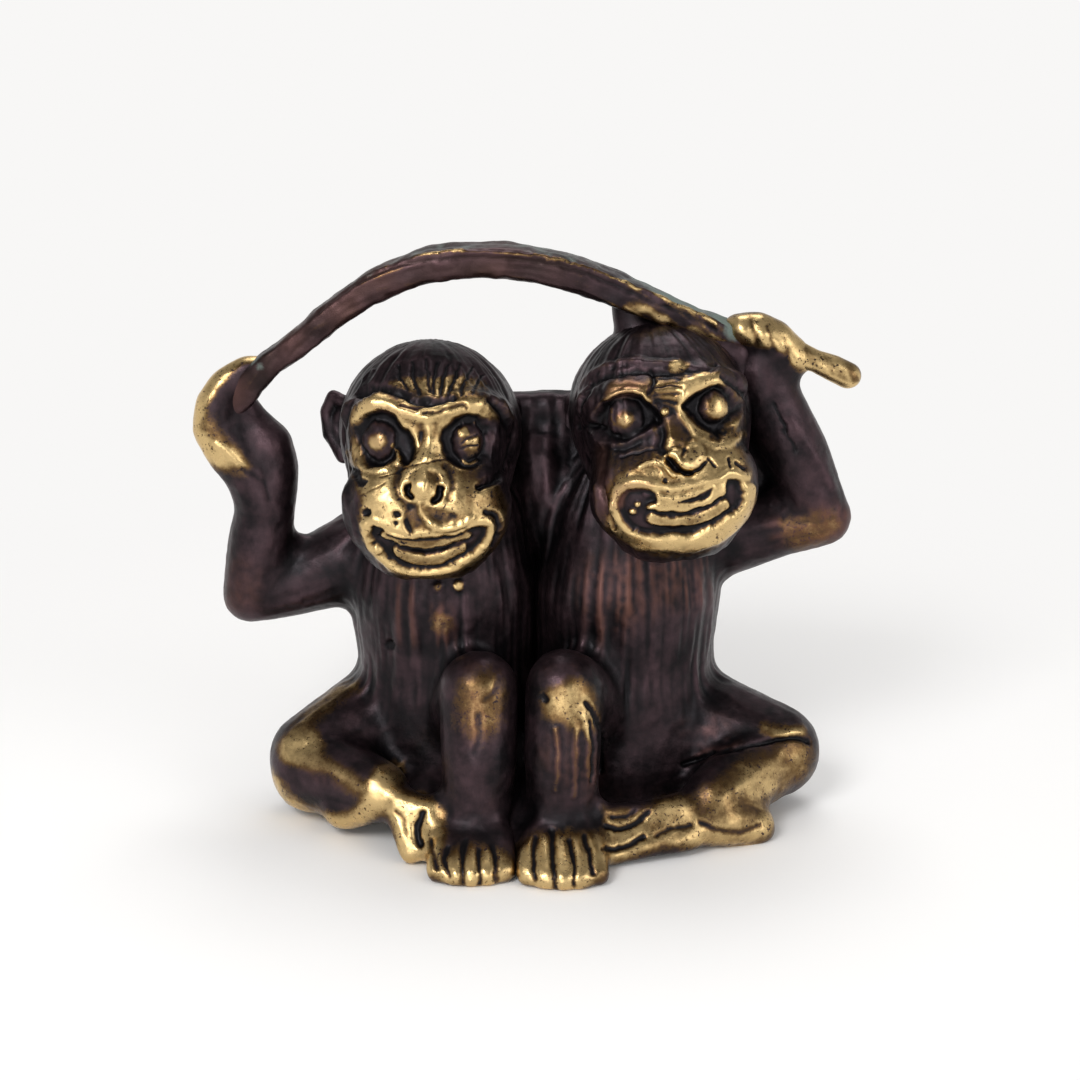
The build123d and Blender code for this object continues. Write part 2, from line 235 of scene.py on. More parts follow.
class Clay:
    """The points of a piece as arrays that can be pushed about."""

    def __init__(self, piece):
        self.mesh = piece.data
        count = len(self.mesh.vertices)
        self.points = np.empty(count * 3, np.float32)
        self.mesh.vertices.foreach_get("co", self.points)
        self.points = self.points.reshape(-1, 3).astype(float)
        edges = np.empty(len(self.mesh.edges) * 2, np.int32)
        self.mesh.edges.foreach_get("vertices", edges)
        self.edges = edges.reshape(-1, 2)
        self.degree = np.bincount(self.edges.ravel(), minlength=count)[:, None]
        self.refresh()

    def refresh(self):
        """Writes the points back to the mesh and reads its normals."""
        self.mesh.vertices.foreach_set("co", self.points.astype(np.float32).ravel())
        self.mesh.update()
        normals = np.empty(len(self.points) * 3, np.float32)
        self.mesh.vertex_normals.foreach_get("vector", normals)
        self.normals = normals.reshape(-1, 3).astype(float)

    def blurred(self, values, times):
        """Values at the points, averaged with their neighbours' some times over."""
        values = values.reshape(len(values), -1)
        a, b = self.edges.T
        count = len(values)
        for _ in range(times):
            total = np.stack(
                [
                    np.bincount(a, values[b, i], count) + np.bincount(b, values[a, i], count)
                    for i in range(values.shape[1])
                ],
                axis=1,
            )
            values = 0.5 * values + 0.5 * total / self.degree
        return values

    def soften_normals(self, times):
        """Makes the next push follow the form and not its small bumps."""
        soft = self.blurred(self.normals, times)
        self.normals = soft / np.linalg.norm(soft, axis=1)[:, None]

    def push(self, amounts):
        """Moves each point along its normal."""
        self.points += self.normals * amounts[:, None]
        self.refresh()

    def settle(self):
        """Takes the sharpest edges off what was pushed."""
        self.points = self.blurred(self.points, 1)
        self.refresh()

    def stand_on_floor(self):
        """Flattens what would reach through the floor."""
        self.points[:, 2] = np.maximum(self.points[:, 2], 0.0)
        self.refresh()

    def ridges(self, times):
        """How far each point stands out of its blurred surroundings, in millimetres."""
        return ((self.points - self.blurred(self.points, times)) * self.normals).sum(axis=1)

    def store(self, name, values):
        """Keeps a value for each point on the mesh, where its material reads it."""
        attribute = self.mesh.attributes.new(name, "FLOAT", "POINT")
        attribute.data.foreach_set("value", np.clip(values, 0, 1).astype(np.float32))


def fade(values, low, high):
    """A smooth step from 0 at low to 1 at high."""
    share = np.clip((values - low) / (high - low), 0, 1)
    return share * share * (3 - 2 * share)


SHUFFLED = np.random.RandomState(11).permutation(256)


def grain_noise(places, seed=0):
    """Smooth noise from -1 to 1 at each place, with one lump per unit."""
    whole = np.floor(places).astype(int)
    part = places - whole
    part = part * part * (3 - 2 * part)
    total = np.zeros(len(places))
    for corner in np.ndindex(2, 2, 2):
        x, y, z = (whole + corner).T
        value = SHUFFLED[(SHUFFLED[(SHUFFLED[(x + seed) & 255] + y) & 255] + z) & 255]
        total += np.prod(np.where(corner, part, 1 - part), axis=1) * value
    return total / 127.5 - 1


def cast_grain(points):
    """The unevenness that the sand of the mould leaves, in millimetres."""
    layers = ((0.05, 1.7, 31), (0.03, 0.7, 32), (0.015, 0.4, 33))
    return sum(height * grain_noise(points / size, seed) for height, size, seed in layers)


def strands(coarse, fine, seed):
    """Combed strands as a coarse and a fine layer, each laid out by places round and along a form."""
    layers = [
        grain_noise(np.stack([around, along, np.full(len(along), float(layer))], axis=1), layer * seed)
        for layer, (around, along) in enumerate((coarse, fine))
    ]
    return 0.65 * layers[0] + 0.35 * layers[1]


def drawn(points):
    """Where points stand on the front drawing, in marks across and down, with a hand's waver."""
    offset = points - (np.array(VIEW_TARGET) - VIEW_DISTANCE * AHEAD)
    depth = offset @ AHEAD
    middle = SHEET_MARKS / 2
    across = middle + FOCAL_MARKS * offset[:, 0] / depth
    down = middle - FOCAL_MARKS * (offset @ UPWARD) / depth
    marks = np.stack([across, down], axis=1)
    for spacing, waver in ((1.1, 1.3), (0.4, 0.9)):
        marks += waver * np.stack([grain_noise(points / spacing, seed) for seed in (51, 87)], axis=1)
    return marks


def rounded(corners, closed):
    """A smooth line through the corners, six points to a span."""
    corners = np.array(corners, float)
    if len(corners) < 3:
        return corners
    if closed:
        padded = np.concatenate([corners[-1:], corners, corners[:2]])
    else:
        start, end = 2 * corners[:1] - corners[1:2], 2 * corners[-1:] - corners[-2:-1]
        padded = np.concatenate([start, corners, end])
    line = []
    for a, b, c, d in zip(padded, padded[1:], padded[2:], padded[3:]):
        bend, twist = 2 * a - 5 * b + 4 * c - d, 3 * b - a - 3 * c + d
        for share in np.arange(6) / 6:
            line.append(0.5 * (2 * b + (c - a) * share + bend * share**2 + twist * share**3))
    return np.array(line if closed else line + [padded[-2]])


def distance(marks, line):
    """How far each mark is from a line."""
    nearest = np.full(len(marks), 1e9)
    for a, b in zip(line, line[1:]):
        way = b - a
        share = np.clip(((marks - a) @ way) / max(way @ way, 1e-9), 0, 1)
        nearest = np.minimum(nearest, ((marks - a - share[:, None] * way) ** 2).sum(axis=1))
    return np.sqrt(nearest)


def inside(marks, line):
    """Which marks a closed line goes round."""
    odd = np.zeros(len(marks), bool)
    x, y = marks.T
    for (xa, ya), (xb, yb) in zip(line, np.roll(line, -1, axis=0)):
        crosses = (ya > y) != (yb > y)
        if ya != yb:
            odd ^= crosses & (x < (xb - xa) * (y - ya) / (yb - ya) + xa)
    return odd


def stroke(marks, kind, width, corners):
    """The share, 0 to 1, that one stroke of the drawing has at each mark."""
    share = np.zeros(len(marks))
    corners = np.array(corners, float)
    reach = 2 * width + 4
    low, high = corners.min(axis=0) - reach, corners.max(axis=0) + reach
    close = ((marks > low) & (marks < high)).all(axis=1)
    if not close.any():
        return share
    spots = marks[close]
    if kind == "line":
        share[close] = 1 - fade(distance(spots, rounded(corners, False)), 0, width)
    elif kind == "band":
        share[close] = 1 - fade(distance(spots, rounded(corners, False)), width / 2, width)
    elif kind == "area":
        line = rounded(corners, True)
        gap = distance(spots, np.concatenate([line, line[:1]]))
        share[close] = fade(np.where(inside(spots, line), gap, -gap), -width / 2, width / 2)
    else:
        from_middle = ((spots - corners[0]) ** 2).sum(axis=1)
        share[close] = np.sqrt(np.clip(1 - from_middle / width**2, 0, 1))
    return share


def carved(marks, drawing, front, facing, depth, polish):
    """Depths and polish with each stroke's cut or ridge, and its rubbed or tarnished metal, added."""
    for kind, out, width, shine, *lines in drawing:
        for corners in lines:
            share = stroke(marks, kind, width, corners)
            depth = depth + share * out * front
            share = share * facing
            if shine >= 0:
                polish = polish + share * shine * (1 - np.clip(polish, 0, 1))
            else:
                polish = polish * (1 + share * shine)
    return depth, polish


def warm_film(marks, areas):
    """How much warm film each mark has, from soft areas of the drawing."""
    share = np.zeros(len(marks))
    for amount, width, corners in areas:
        share = np.maximum(share, amount * stroke(marks, "area", width, corners))
    return share


def rubbed_by(points, spots):
    """The strongest share that any of the round spots (x, y, z, reach, amount) has at each point."""
    share = np.zeros(len(points))
    for x, y, z, reach, amount in spots:
        gap = ((points - (x, y, z)) ** 2).sum(axis=1)
        share = np.maximum(share, amount * np.exp(-gap / reach**2))
    return share


# Heads

# One head in its own frame, as chains of balls (x, y, z, radius) in millimetres: skull, cheeks,
# muzzle, chin and brow flow together, and nose and ears stand on them
HEAD_MASSES = (
    ((0, 0.86, 2.4, 9.15), (0, -0.58, -2.4, 7.8)),
    ((-2.9, -4.1, 2.0, 4.9), (2.9, -4.1, 2.0, 4.9)),
    ((-2.7, -6.0, -4.6, 5.6), (2.7, -6.0, -4.6, 5.6)),
    ((-1.7, -5.4, -6.6, 5.2), (1.7, -5.4, -6.6, 5.2)),
    ((-7.2, -4.2, 4.6, 1.4), (-4.6, -7.1, 5.5, 1.5), (0, -7.7, 4.6, 1.5), (4.6, -7.1, 5.5, 1.5),
        (7.2, -4.2, 4.6, 1.4)),
    ((0, -7.4, 1.8, 1.5), (0, -9.0, -0.6, 1.7)),
)
NOSE = (
    ((0, -8.6, 0.2, 1.25), (0, -10.6, -2.2, 1.45)),
    ((-1.5, -10.4, -2.9, 1.15), (1.5, -10.4, -2.9, 1.15)),
)
OPEN_EAR = (
    ((8.9, 2.4, 5.2, 0.8), (10.2, 3.2, 5.7, 0.75), (10.9, 3.7, 4.2, 0.8), (10.7, 3.7, 1.8, 0.8),
        (9.2, 3.0, -0.4, 0.8)),
    ((8.9, 3.1, 4.4, 0.9), (10.0, 3.7, 3.0, 0.85), (9.3, 3.3, 0.6, 0.9)),
)
PRESSED_EAR = (((8.3, 4.6, 4.6, 0.9), (9.2, 5.6, 3.4, 0.9), (9.2, 5.8, 1.0, 0.9), (8.4, 5.2, -1.2, 0.9)),)
# Where each head sits, its roll and yaw in degrees, and its ears to the left (-1) and right (1)
HEAD_PLACES = {
    "left": ((-9.894, -2.0, 38.4), 0.0, -1.0, {-1: OPEN_EAR, 1: PRESSED_EAR}),
    "right": ((13.906, -2.0, 40.32), 7.0, 1.5, {-1: PRESSED_EAR, 1: PRESSED_EAR}),
}
HEAD_PITCH = 10.0
# The hair is combed round an upright line behind the skull's middle
HAIR_MIDDLE_Y = 1.5
SKULL_RADIUS = 9.0

# The faces as drawn from the front: kind of stroke, millimetres out (+) or in (-), width or
# softness, polish (+) or tarnish (-), and the corners of one line or more
LEFT_FACE = (
    # the rubbed face inside its frame of hair
    ("area", 0.0, 14, 0.85, ((352, 470), (350, 440), (356, 412), (372, 397), (400, 400), (430, 404),
        (470, 397), (490, 405), (498, 425), (486, 470), (500, 490), (508, 512), (502, 540), (482, 562),
        (455, 576), (430, 580), (400, 576), (378, 562), (364, 545), (358, 520), (360, 500))),
    ("area", 0.0, 12, -0.3, ((352, 480), (364, 490), (362, 520), (368, 550), (390, 572), (360, 560),
        (350, 520))),
    ("area", 0.0, 14, -0.3, ((454, 470), (480, 470), (500, 496), (496, 512), (470, 506), (450, 496))),
    ("area", 0.0, 8, -0.35, ((424, 411), (446, 408), (466, 402), (470, 412), (446, 418), (426, 419))),
    ("area", 0.0, 7, -0.35, ((418, 424), (432, 422), (437, 434), (428, 444), (418, 438))),
    # wide soft areas: the face is darker towards its right edge and the bottom of the chin, along the brow,
    # round the eyes and under the nose
    ("area", 0.0, 44, -0.55, ((492, 396), (530, 396), (540, 560), (500, 580), (500, 500), (494, 450))),
    ("area", 0.0, 22, -0.5, ((366, 572), (396, 584), (430, 588), (466, 582), (496, 560), (510, 600),
        (360, 600))),
    ("area", 0.0, 26, -0.3, ((384, 398), (430, 400), (480, 394), (480, 408), (430, 414), (390, 410))),
    ("area", 0.0, 30, -0.3, ((346, 432), (376, 406), (412, 430), (408, 470), (370, 478), (350, 462))),
    ("area", 0.0, 30, -0.35, ((440, 430), (470, 408), (500, 430), (496, 470), (466, 480), (440, 456))),
    ("area", 0.0, 24, -0.25, ((400, 500), (440, 504), (470, 514), (440, 532), (404, 528))),
    # frame of hair round the face
    ("line", -0.3, 5, -0.5, ((345, 480), (342, 440), (350, 405), (368, 393))),
    ("line", -0.35, 6, -0.6, ((490, 401), (504, 420), (509, 445), (503, 470), (480, 486))),
    ("line", 0.3, 6, 0.1, ((486, 392), (502, 404), (515, 425), (519, 450), (513, 480), (516, 510), (508, 540))),
    ("line", 0.2, 6, 0.1, ((350, 400), (342, 415), (338, 440), (341, 475), (349, 510), (356, 545))),
    # fringe and the dark fold under it
    ("area", 0.15, 12, 0.55, ((390, 383), (415, 378), (445, 377), (480, 378), (484, 390), (455, 396),
        (430, 397), (412, 392))),
    ("line", -0.7, 5.5, -1.0, ((360, 394), (374, 388), (388, 389), (402, 394), (418, 401), (437, 401),
        (452, 398))),
    ("line", -0.35, 3, -0.8, ((400, 405), (415, 408), (433, 405))),
    ("line", -0.22, 2.6, -0.6, ((398, 366), (400, 378), (408, 390)), ((412, 362), (414, 378), (420, 394)),
        ((426, 360), (428, 376), (430, 392))),
    ("line", -0.22, 2.6, -0.65, ((438, 362), (434, 380), (433, 394)), ((449, 364), (443, 380), (440, 397)),
        ((461, 364), (454, 380), (448, 396)), ((472, 368), (465, 381), (460, 394))),
    ("line", -0.2, 2.6, -0.6, ((483, 374), (477, 384), (473, 392))),
    ("line", 0.3, 4, 0.0, ((430, 346), (436, 340), (444, 342)), ((466, 352), (474, 350), (480, 358))),
    ("line", 0.35, 4, 0.0, ((404, 350), (408, 344), (412, 347)), ((362, 378), (367, 369), (372, 370))),
    # brows
    ("line", 0.2, 12, 0.35, ((354, 418), (364, 404), (384, 402), (402, 411), (425, 415), (445, 411),
        (465, 405), (484, 404), (497, 416))),
    ("line", -0.2, 3, -0.35, ((424, 414), (444, 410), (462, 404), (467, 409))),
    # left eye
    ("area", -0.85, 9, -0.92, ((352, 436), (358, 423), (368, 415), (380, 412), (392, 417), (401, 427),
        (411, 436), (413, 448), (409, 460), (402, 462), (397, 452), (392, 458), (382, 464), (370, 463),
        (360, 455))),
    ("line", 0.25, 4, 0.6, ((393, 446), (397, 454), (399, 464))),
    ("dome", 0.9, 19, 0.0, ((376, 440),)),
    ("line", 0.1, 13, 0.95, ((377, 442), (378, 442))),
    ("line", 0.2, 5, 0.3, ((349, 452), (356, 464), (370, 470), (386, 468))),
    # right eye
    ("area", -0.75, 10, -0.9, ((441, 434), (449, 425), (458, 419), (470, 417), (482, 420), (492, 428),
        (490, 444), (483, 460), (469, 467), (453, 461), (444, 450))),
    ("dome", 0.85, 18, 0.12, ((469, 441),)),
    ("line", 0.05, 14, 0.6, ((472, 443), (473, 443))),
    ("area", 0.05, 3, 0.6, ((458, 430), (466, 427), (468, 434), (460, 437))),
    ("line", -0.2, 1.6, -0.9, ((462, 444), (469, 437), (478, 434)), ((461, 450), (470, 446), (478, 446))),
    ("line", 0.4, 4, 0.5, ((464, 460), (471, 462), (478, 460))),
    ("line", 0.3, 3, 0.4, ((462, 423), (470, 421), (477, 424))),
    ("area", 0.0, 12, -0.75, ((484, 420), (500, 424), (506, 448), (498, 468), (480, 482), (478, 462),
        (488, 446))),
    # nose
    ("line", 0.2, 8, 0.4, ((428, 420), (430, 440), (428, 456))),
    ("line", -0.15, 3, -0.3, ((421, 432), (419, 446), (414, 458))),
    ("line", -0.07, 1.7, -0.5, ((380, 478), (396, 472), (413, 466), (432, 461), (452, 458))),
    ("area", 0.15, 8, 0.3, ((402, 472), (414, 466), (436, 465), (447, 476), (448, 486), (434, 500),
        (418, 503), (402, 496))),
    ("line", 0.12, 5, 0.1, ((424, 470), (426, 480), (424, 492))),
    ("area", -0.12, 6, -0.25, ((426, 470), (440, 474), (441, 486), (430, 494), (426, 482))),
    ("line", -0.8, 4.5, -1.0, ((408, 486), (406, 492), (410, 497))),
    ("line", -0.8, 5, -1.0, ((441, 488), (439, 495), (433, 500))),
    ("line", -0.18, 8, -0.35, ((401, 466), (397, 480), (398, 494), (408, 505)), ((447, 466), (451, 482),
        (448, 498))),
    # cheeks and lip
    ("line", -0.05, 1.4, -0.35, ((361, 496), (373, 490), (386, 483))),
    ("area", -0.35, 3, -0.9, ((351, 468), (357, 470), (362, 478), (368, 482), (360, 486), (354, 478))),
    ("dome", -0.4, 5, -0.9, ((366, 512),)),
    ("dome", -0.3, 4, -0.9, ((397, 515),)),
    ("dome", -0.2, 3, -0.8, ((396, 524),)),
    ("line", -0.3, 4, -0.7, ((406, 521), (411, 531))),
    ("area", -0.15, 8, -0.35, ((408, 504), (420, 504), (424, 520), (414, 530), (404, 518))),
    ("line", 0.15, 4, 0.3, ((418, 504), (422, 516), (436, 528))),
    ("area", -0.15, 6, -0.3, ((426, 508), (444, 508), (456, 516), (446, 522), (430, 518))),
    ("line", 0.25, 5, 0.3, ((430, 524), (442, 529), (458, 526), (474, 518))),
    ("line", -0.4, 4, -0.9, ((480, 486), (490, 484), (500, 478))),
    # mouth: the opening, two rows of teeth in it, and the lips round it
    ("line", 0.15, 7, 0.5, ((364, 522), (376, 521), (395, 529), (420, 534), (445, 532), (468, 525),
        (488, 522))),
    ("area", -0.6, 4, -0.88, ((369, 533), (372, 527), (380, 529), (390, 534), (400, 538), (415, 539),
        (430, 539), (445, 537), (458, 535), (468, 530), (476, 528), (486, 530), (487, 536), (484, 545),
        (476, 551), (468, 556), (460, 561), (452, 565), (445, 568), (430, 571), (418, 571), (405, 569),
        (392, 564), (384, 557), (376, 549), (370, 541))),
    ("band", 0.4, 8, 0.55, ((386, 537), (395, 540), (405, 543), (418, 545), (430, 545), (445, 543),
        (458, 540), (466, 537)), ((398, 553), (405, 557), (415, 561), (430, 562), (442, 560), (455, 554),
        (461, 550))),
    ("line", -0.15, 2.8, -0.8, ((388, 535), (402, 540), (418, 541), (432, 541), (448, 539), (462, 535))),
    ("line", -0.3, 4, -0.9, ((378, 540), (392, 546), (405, 551), (418, 553), (432, 553), (445, 550),
        (458, 546), (472, 541))),
    ("line", 0.25, 6, 0.7, ((364, 524), (367, 537), (375, 551), (390, 566), (405, 572), (425, 575),
        (445, 572), (465, 563), (480, 553), (490, 540), (491, 525))),
    ("line", -0.3, 5, -0.8, ((486, 512), (495, 515), (499, 525), (498, 535), (493, 546))),
)

RIGHT_FACE = (
    ("area", 0.0, 16, 0.78, ((606, 500), (612, 480), (640, 464), (660, 452), (655, 430), (668, 412),
        (655, 398), (625, 398), (606, 398), (612, 382), (640, 380), (668, 380), (684, 378), (712, 373),
        (724, 386), (740, 398), (745, 420), (742, 440), (748, 458), (754, 480), (750, 505), (738, 530),
        (715, 547), (690, 555), (660, 556), (632, 548), (612, 530))),
    ("area", 0.0, 18, 0.35, ((608, 448), (640, 438), (662, 446), (655, 462), (630, 470), (610, 476))),
    ("area", 0.0, 10, -0.45, ((606, 398), (612, 380), (640, 378), (654, 388), (650, 402), (628, 397))),
    ("area", 0.0, 8, -0.35, ((662, 414), (680, 410), (690, 432), (694, 446), (676, 444), (666, 432))),
    ("area", 0.0, 9, -0.35, ((724, 384), (742, 400), (744, 430), (750, 470), (742, 470), (732, 440),
        (738, 416))),
    # wide soft areas: the face is darker towards both side edges and the bottom of the chin, over the bridge of
    # the nose and round the right eye
    ("area", 0.0, 44, -0.62, ((566, 380), (640, 384), (652, 430), (634, 462), (606, 474), (590, 530),
        (560, 500))),
    ("area", 0.0, 30, -0.3, ((654, 384), (684, 384), (694, 440), (664, 448))),
    ("area", 0.0, 30, -0.35, ((690, 404), (716, 384), (744, 402), (738, 432), (708, 440))),
    ("area", 0.0, 22, -0.45, ((612, 544), (650, 556), (690, 558), (740, 540), (750, 580), (600, 580))),
    ("area", 0.0, 20, -0.35, ((742, 400), (770, 400), (770, 520), (750, 520), (752, 470))),
    # frame of hair
    ("line", -0.45, 4.5, -0.9, ((576, 430), (580, 405), (592, 386), (612, 375), (640, 372), (668, 374),
        (690, 370), (716, 366))),
    ("line", 0.35, 6, 0.1, ((572, 400), (590, 376), (616, 363), (648, 362), (676, 364))),
    ("area", 0.0, 6, 0.6, ((668, 366), (680, 360), (690, 363), (684, 372), (672, 374))),
    ("line", -0.35, 5, -0.6, ((577, 425), (582, 452), (592, 468), (590, 490))),
    ("line", -0.4, 4, -0.8, ((720, 376), (738, 390), (750, 404), (752, 425), (748, 450))),
    # brows and forehead
    ("area", 0.2, 12, 0.3, ((607, 396), (612, 384), (632, 380), (646, 388), (652, 400), (640, 399),
        (624, 394))),
    ("area", 0.28, 12, 0.5, ((682, 384), (700, 376), (717, 374), (724, 384), (712, 388), (698, 393),
        (688, 402), (680, 398))),
    ("line", -0.3, 3, -0.8, ((650, 370), (654, 382), (648, 394))),
    ("line", -0.12, 2, -0.5, ((658, 380), (670, 378), (682, 380)), ((656, 388), (670, 386), (681, 388))),
    ("line", -0.12, 2, -0.4, ((654, 395), (668, 394), (680, 394))),
    ("line", -0.15, 2.4, -0.5, ((650, 403), (664, 401), (676, 404))),
    ("dome", 0.5, 5, 0.6, ((665, 412),)),
    # left eye, an almond between two folds
    ("area", -0.85, 8, -0.92, ((587, 427), (597, 412), (611, 401), (628, 396), (643, 401), (655, 411),
        (662, 419), (650, 425), (638, 433), (622, 440), (606, 439), (595, 433))),
    ("dome", 1.0, 20, 0.1, ((624, 419),)),
    ("line", 0.08, 12, 0.9, ((624, 420), (625, 420))),
    # painted highlight: a thin line of bare brass down the eyeball's left side
    ("line", 0.08, 3, 0.3, ((612, 410), (611, 418), (614, 425))),
    ("line", 0.3, 4, 0.1, ((590, 421), (600, 405), (614, 395), (630, 391), (646, 397), (658, 408))),
    ("line", 0.18, 5, 0.0, ((596, 440), (612, 446), (630, 442), (648, 432), (660, 424))),
    ("line", -0.14, 6, -0.4, ((595, 452), (608, 447), (622, 449), (638, 442))),
    ("line", -0.3, 3, -0.7, ((584, 428), (592, 426), (598, 428))),
    ("line", -0.4, 8, -0.95, ((658, 420), (662, 432), (660, 446), (663, 452))),
    # right eye, a round hole with a rim
    ("area", -0.95, 9, -0.95, ((684, 405), (694, 397), (707, 389), (720, 387), (732, 395), (742, 408),
        (740, 415), (731, 423), (722, 433), (712, 432), (700, 424), (690, 414))),
    ("dome", 1.15, 17, 0.1, ((717, 407),)),
    ("line", 0.05, 17, 0.85, ((719, 405), (719, 408))),
    ("line", 0.25, 7, 0.4, ((683, 396), (681, 410), (688, 424), (699, 438), (712, 445), (730, 443),
        (742, 434))),
    ("line", -0.2, 4, -0.5, ((712, 436), (722, 436), (732, 428))),
    # nose
    ("area", 0.2, 7, 0.0, ((668, 418), (680, 416), (692, 432), (696, 446), (684, 446), (668, 440))),
    ("area", 0.3, 8, 0.5, ((663, 456), (672, 450), (684, 448), (692, 441), (700, 443), (704, 452),
        (698, 462), (688, 469), (680, 462), (676, 456))),
    ("line", -0.2, 4, -0.4, ((684, 450), (682, 458), (686, 466))),
    ("area", -1.0, 3, -1.0, ((664, 457), (673, 457), (680, 463), (686, 471), (694, 473), (686, 476),
        (674, 471), (666, 464))),
    ("line", -0.4, 3, -0.9, ((686, 472), (697, 470), (706, 463))),
    ("line", 0.25, 4, 0.3, ((640, 468), (652, 462), (664, 466), (674, 475))),
    # cheeks
    ("line", -0.25, 2.5, -0.7, ((729, 458), (731, 467))),
    ("line", -0.3, 3, -0.7, ((737, 463), (744, 468))),
    ("line", -0.3, 2.5, -0.6, ((708, 459), (716, 466))),
    ("line", -0.15, 2, -0.5, ((620, 458), (640, 452), (656, 450))),
    ("line", -0.5, 3.5, -0.9, ((602, 490), (606, 508), (614, 527))),
    ("line", 0.25, 5, 0.2, ((595, 488), (599, 512), (610, 535))),
    # lips
    ("line", 0.22, 7, 0.6, ((613, 508), (615, 494), (626, 484), (645, 483), (665, 487), (690, 486),
        (715, 479), (733, 472), (746, 477))),
    ("band", 0.22, 9, 0.75, ((612, 508), (620, 528), (638, 541), (660, 545), (690, 545), (712, 538),
        (732, 525), (746, 508), (750, 490))),
    ("line", 0.2, 5, 0.3, ((645, 494), (665, 498), (690, 496), (712, 489))),
    # mouth
    ("area", -0.6, 4, -0.9, ((619, 515), (618, 500), (624, 492), (631, 490), (650, 491), (657, 498),
        (656, 503), (648, 506), (647, 511), (660, 512), (680, 513), (700, 508), (716, 502), (727, 494),
        (728, 482), (736, 479), (742, 484), (745, 493), (743, 503), (736, 511), (722, 521), (706, 530),
        (690, 535), (670, 535), (650, 536), (636, 533), (626, 526))),
    ("band", 0.4, 8, 0.6, ((652, 521), (662, 523), (680, 524), (700, 520), (714, 514), (726, 507))),
    ("line", -0.12, 3, -0.6, ((655, 529), (672, 529), (690, 529), (706, 524))),
    ("area", -0.25, 2.5, -0.9, ((680, 502), (692, 498), (704, 492), (713, 489), (708, 496), (694, 501))),
    ("dome", 0.35, 4, 0.7, ((632, 513),)),
    ("dome", 0.3, 3.5, 0.7, ((636, 505),)),
    ("dome", -0.2, 3, -0.9, ((665, 482),)),
)

# Warm film on the faces: amount, softness, corners
LEFT_FACE_WARM = (
    (0.35, 10, ((366, 402), (392, 404), (420, 410), (410, 418), (384, 412))),
    (0.5, 6, ((368, 438), (376, 434), (384, 440), (378, 448))),
)
RIGHT_FACE_WARM = (
    (0.8, 12, ((608, 396), (616, 384), (640, 382), (646, 390), (626, 396))),
    (0.6, 5, ((618, 414), (626, 412), (628, 424), (620, 424))),
    (0.6, 8, ((612, 506), (614, 490), (628, 481), (652, 482), (650, 488), (626, 492), (620, 508))),
    (0.25, 14, ((596, 450), (606, 448), (612, 500), (602, 520), (596, 490))),
)


def build_head(side, face, warm, sizes):
    """A monkey's head with its face cut into it."""
    place, roll, yaw, ears = HEAD_PLACES[side]
    turn = Matrix.Identity(4)
    for angle, axis in ((-HEAD_PITCH, "X"), (-roll, "Y"), (yaw, "Z")):
        turn = turn @ Matrix.Rotation(math.radians(angle), 4, axis)
    stand = Matrix.Translation(place) @ turn
    head = new_piece(f"{side}_monkey_head", capsules(*HEAD_MASSES))
    flow_together(head, **HEAD_FLOW)
    ear_chains = [
        [(way * x, y, z, radius) for x, y, z, radius in chain]
        for way, ear in ears.items()
        for chain in ear
    ]
    join_shape(head, capsules(*NOSE, *ear_chains))
    work(head, remesh(sizes.head_grain / MM), relax(10))
    head.data.transform(stand)
    clay = Clay(head)
    marks = drawn(clay.points)
    toward = -(clay.normals @ AHEAD)
    before = fade(-clay.points[:, 1], -place[1] + 0.5, -place[1] + 2.5)
    front, facing = fade(toward, *FRONT) * before, fade(toward, -0.35, 0.05) * before
    clay.soften_normals(12)
    depth, polish = carved(marks, face, front, facing, np.zeros(len(marks)), np.zeros(len(marks)))
    # combed hair outside the face
    turn_back = np.array(stand.inverted())
    local = clay.points @ turn_back[:3, :3].T + turn_back[:3, 3]
    around = np.arctan2(local[:, 0], -(local[:, 1] - HAIR_MIDDLE_Y)) * SKULL_RADIUS
    length = np.hypot(local[:, 0], local[:, 1] - HAIR_MIDDLE_Y) / 2.2 + local[:, 2] / 4.5
    face_area = stroke(marks, "area", 14, face[0][4]) * front
    hair = (1 - face_area) * strands((around / 0.75, length), (around / 0.33, length * 1.3), 40)
    depth = depth + hair * sizes.fur_depth / MM * 0.9
    clay.push(depth * sizes.relief + cast_grain(clay.points))
    clay.settle()
    clay.store("polish", polish)
    fine, wide = clay.ridges(FINE_BLUR["head"]), clay.ridges(WIDE_BLUR)
    clay.store("hollow", LEVEL - fine * FINE_HOLLOW - wide * 0.8)
    clay.store("copper", warm_film(marks, warm) * facing)
    return head


# Bodies

def row(root, bend, tip, spread, count, arch):
    """Toes side by side, spread across at root, bend and tip, with the outer ones drawn back."""
    chains = []
    for number in range(count):
        shift = number - (count - 1) / 2
        chains.append(
            tuple(
                (x + across * shift, y + arch * shift**2 * stage, z, radius)
                for (x, y, z, radius), across, stage in zip((root, bend, tip), spread, (0, 0.5, 1))
            )
        )
    return chains


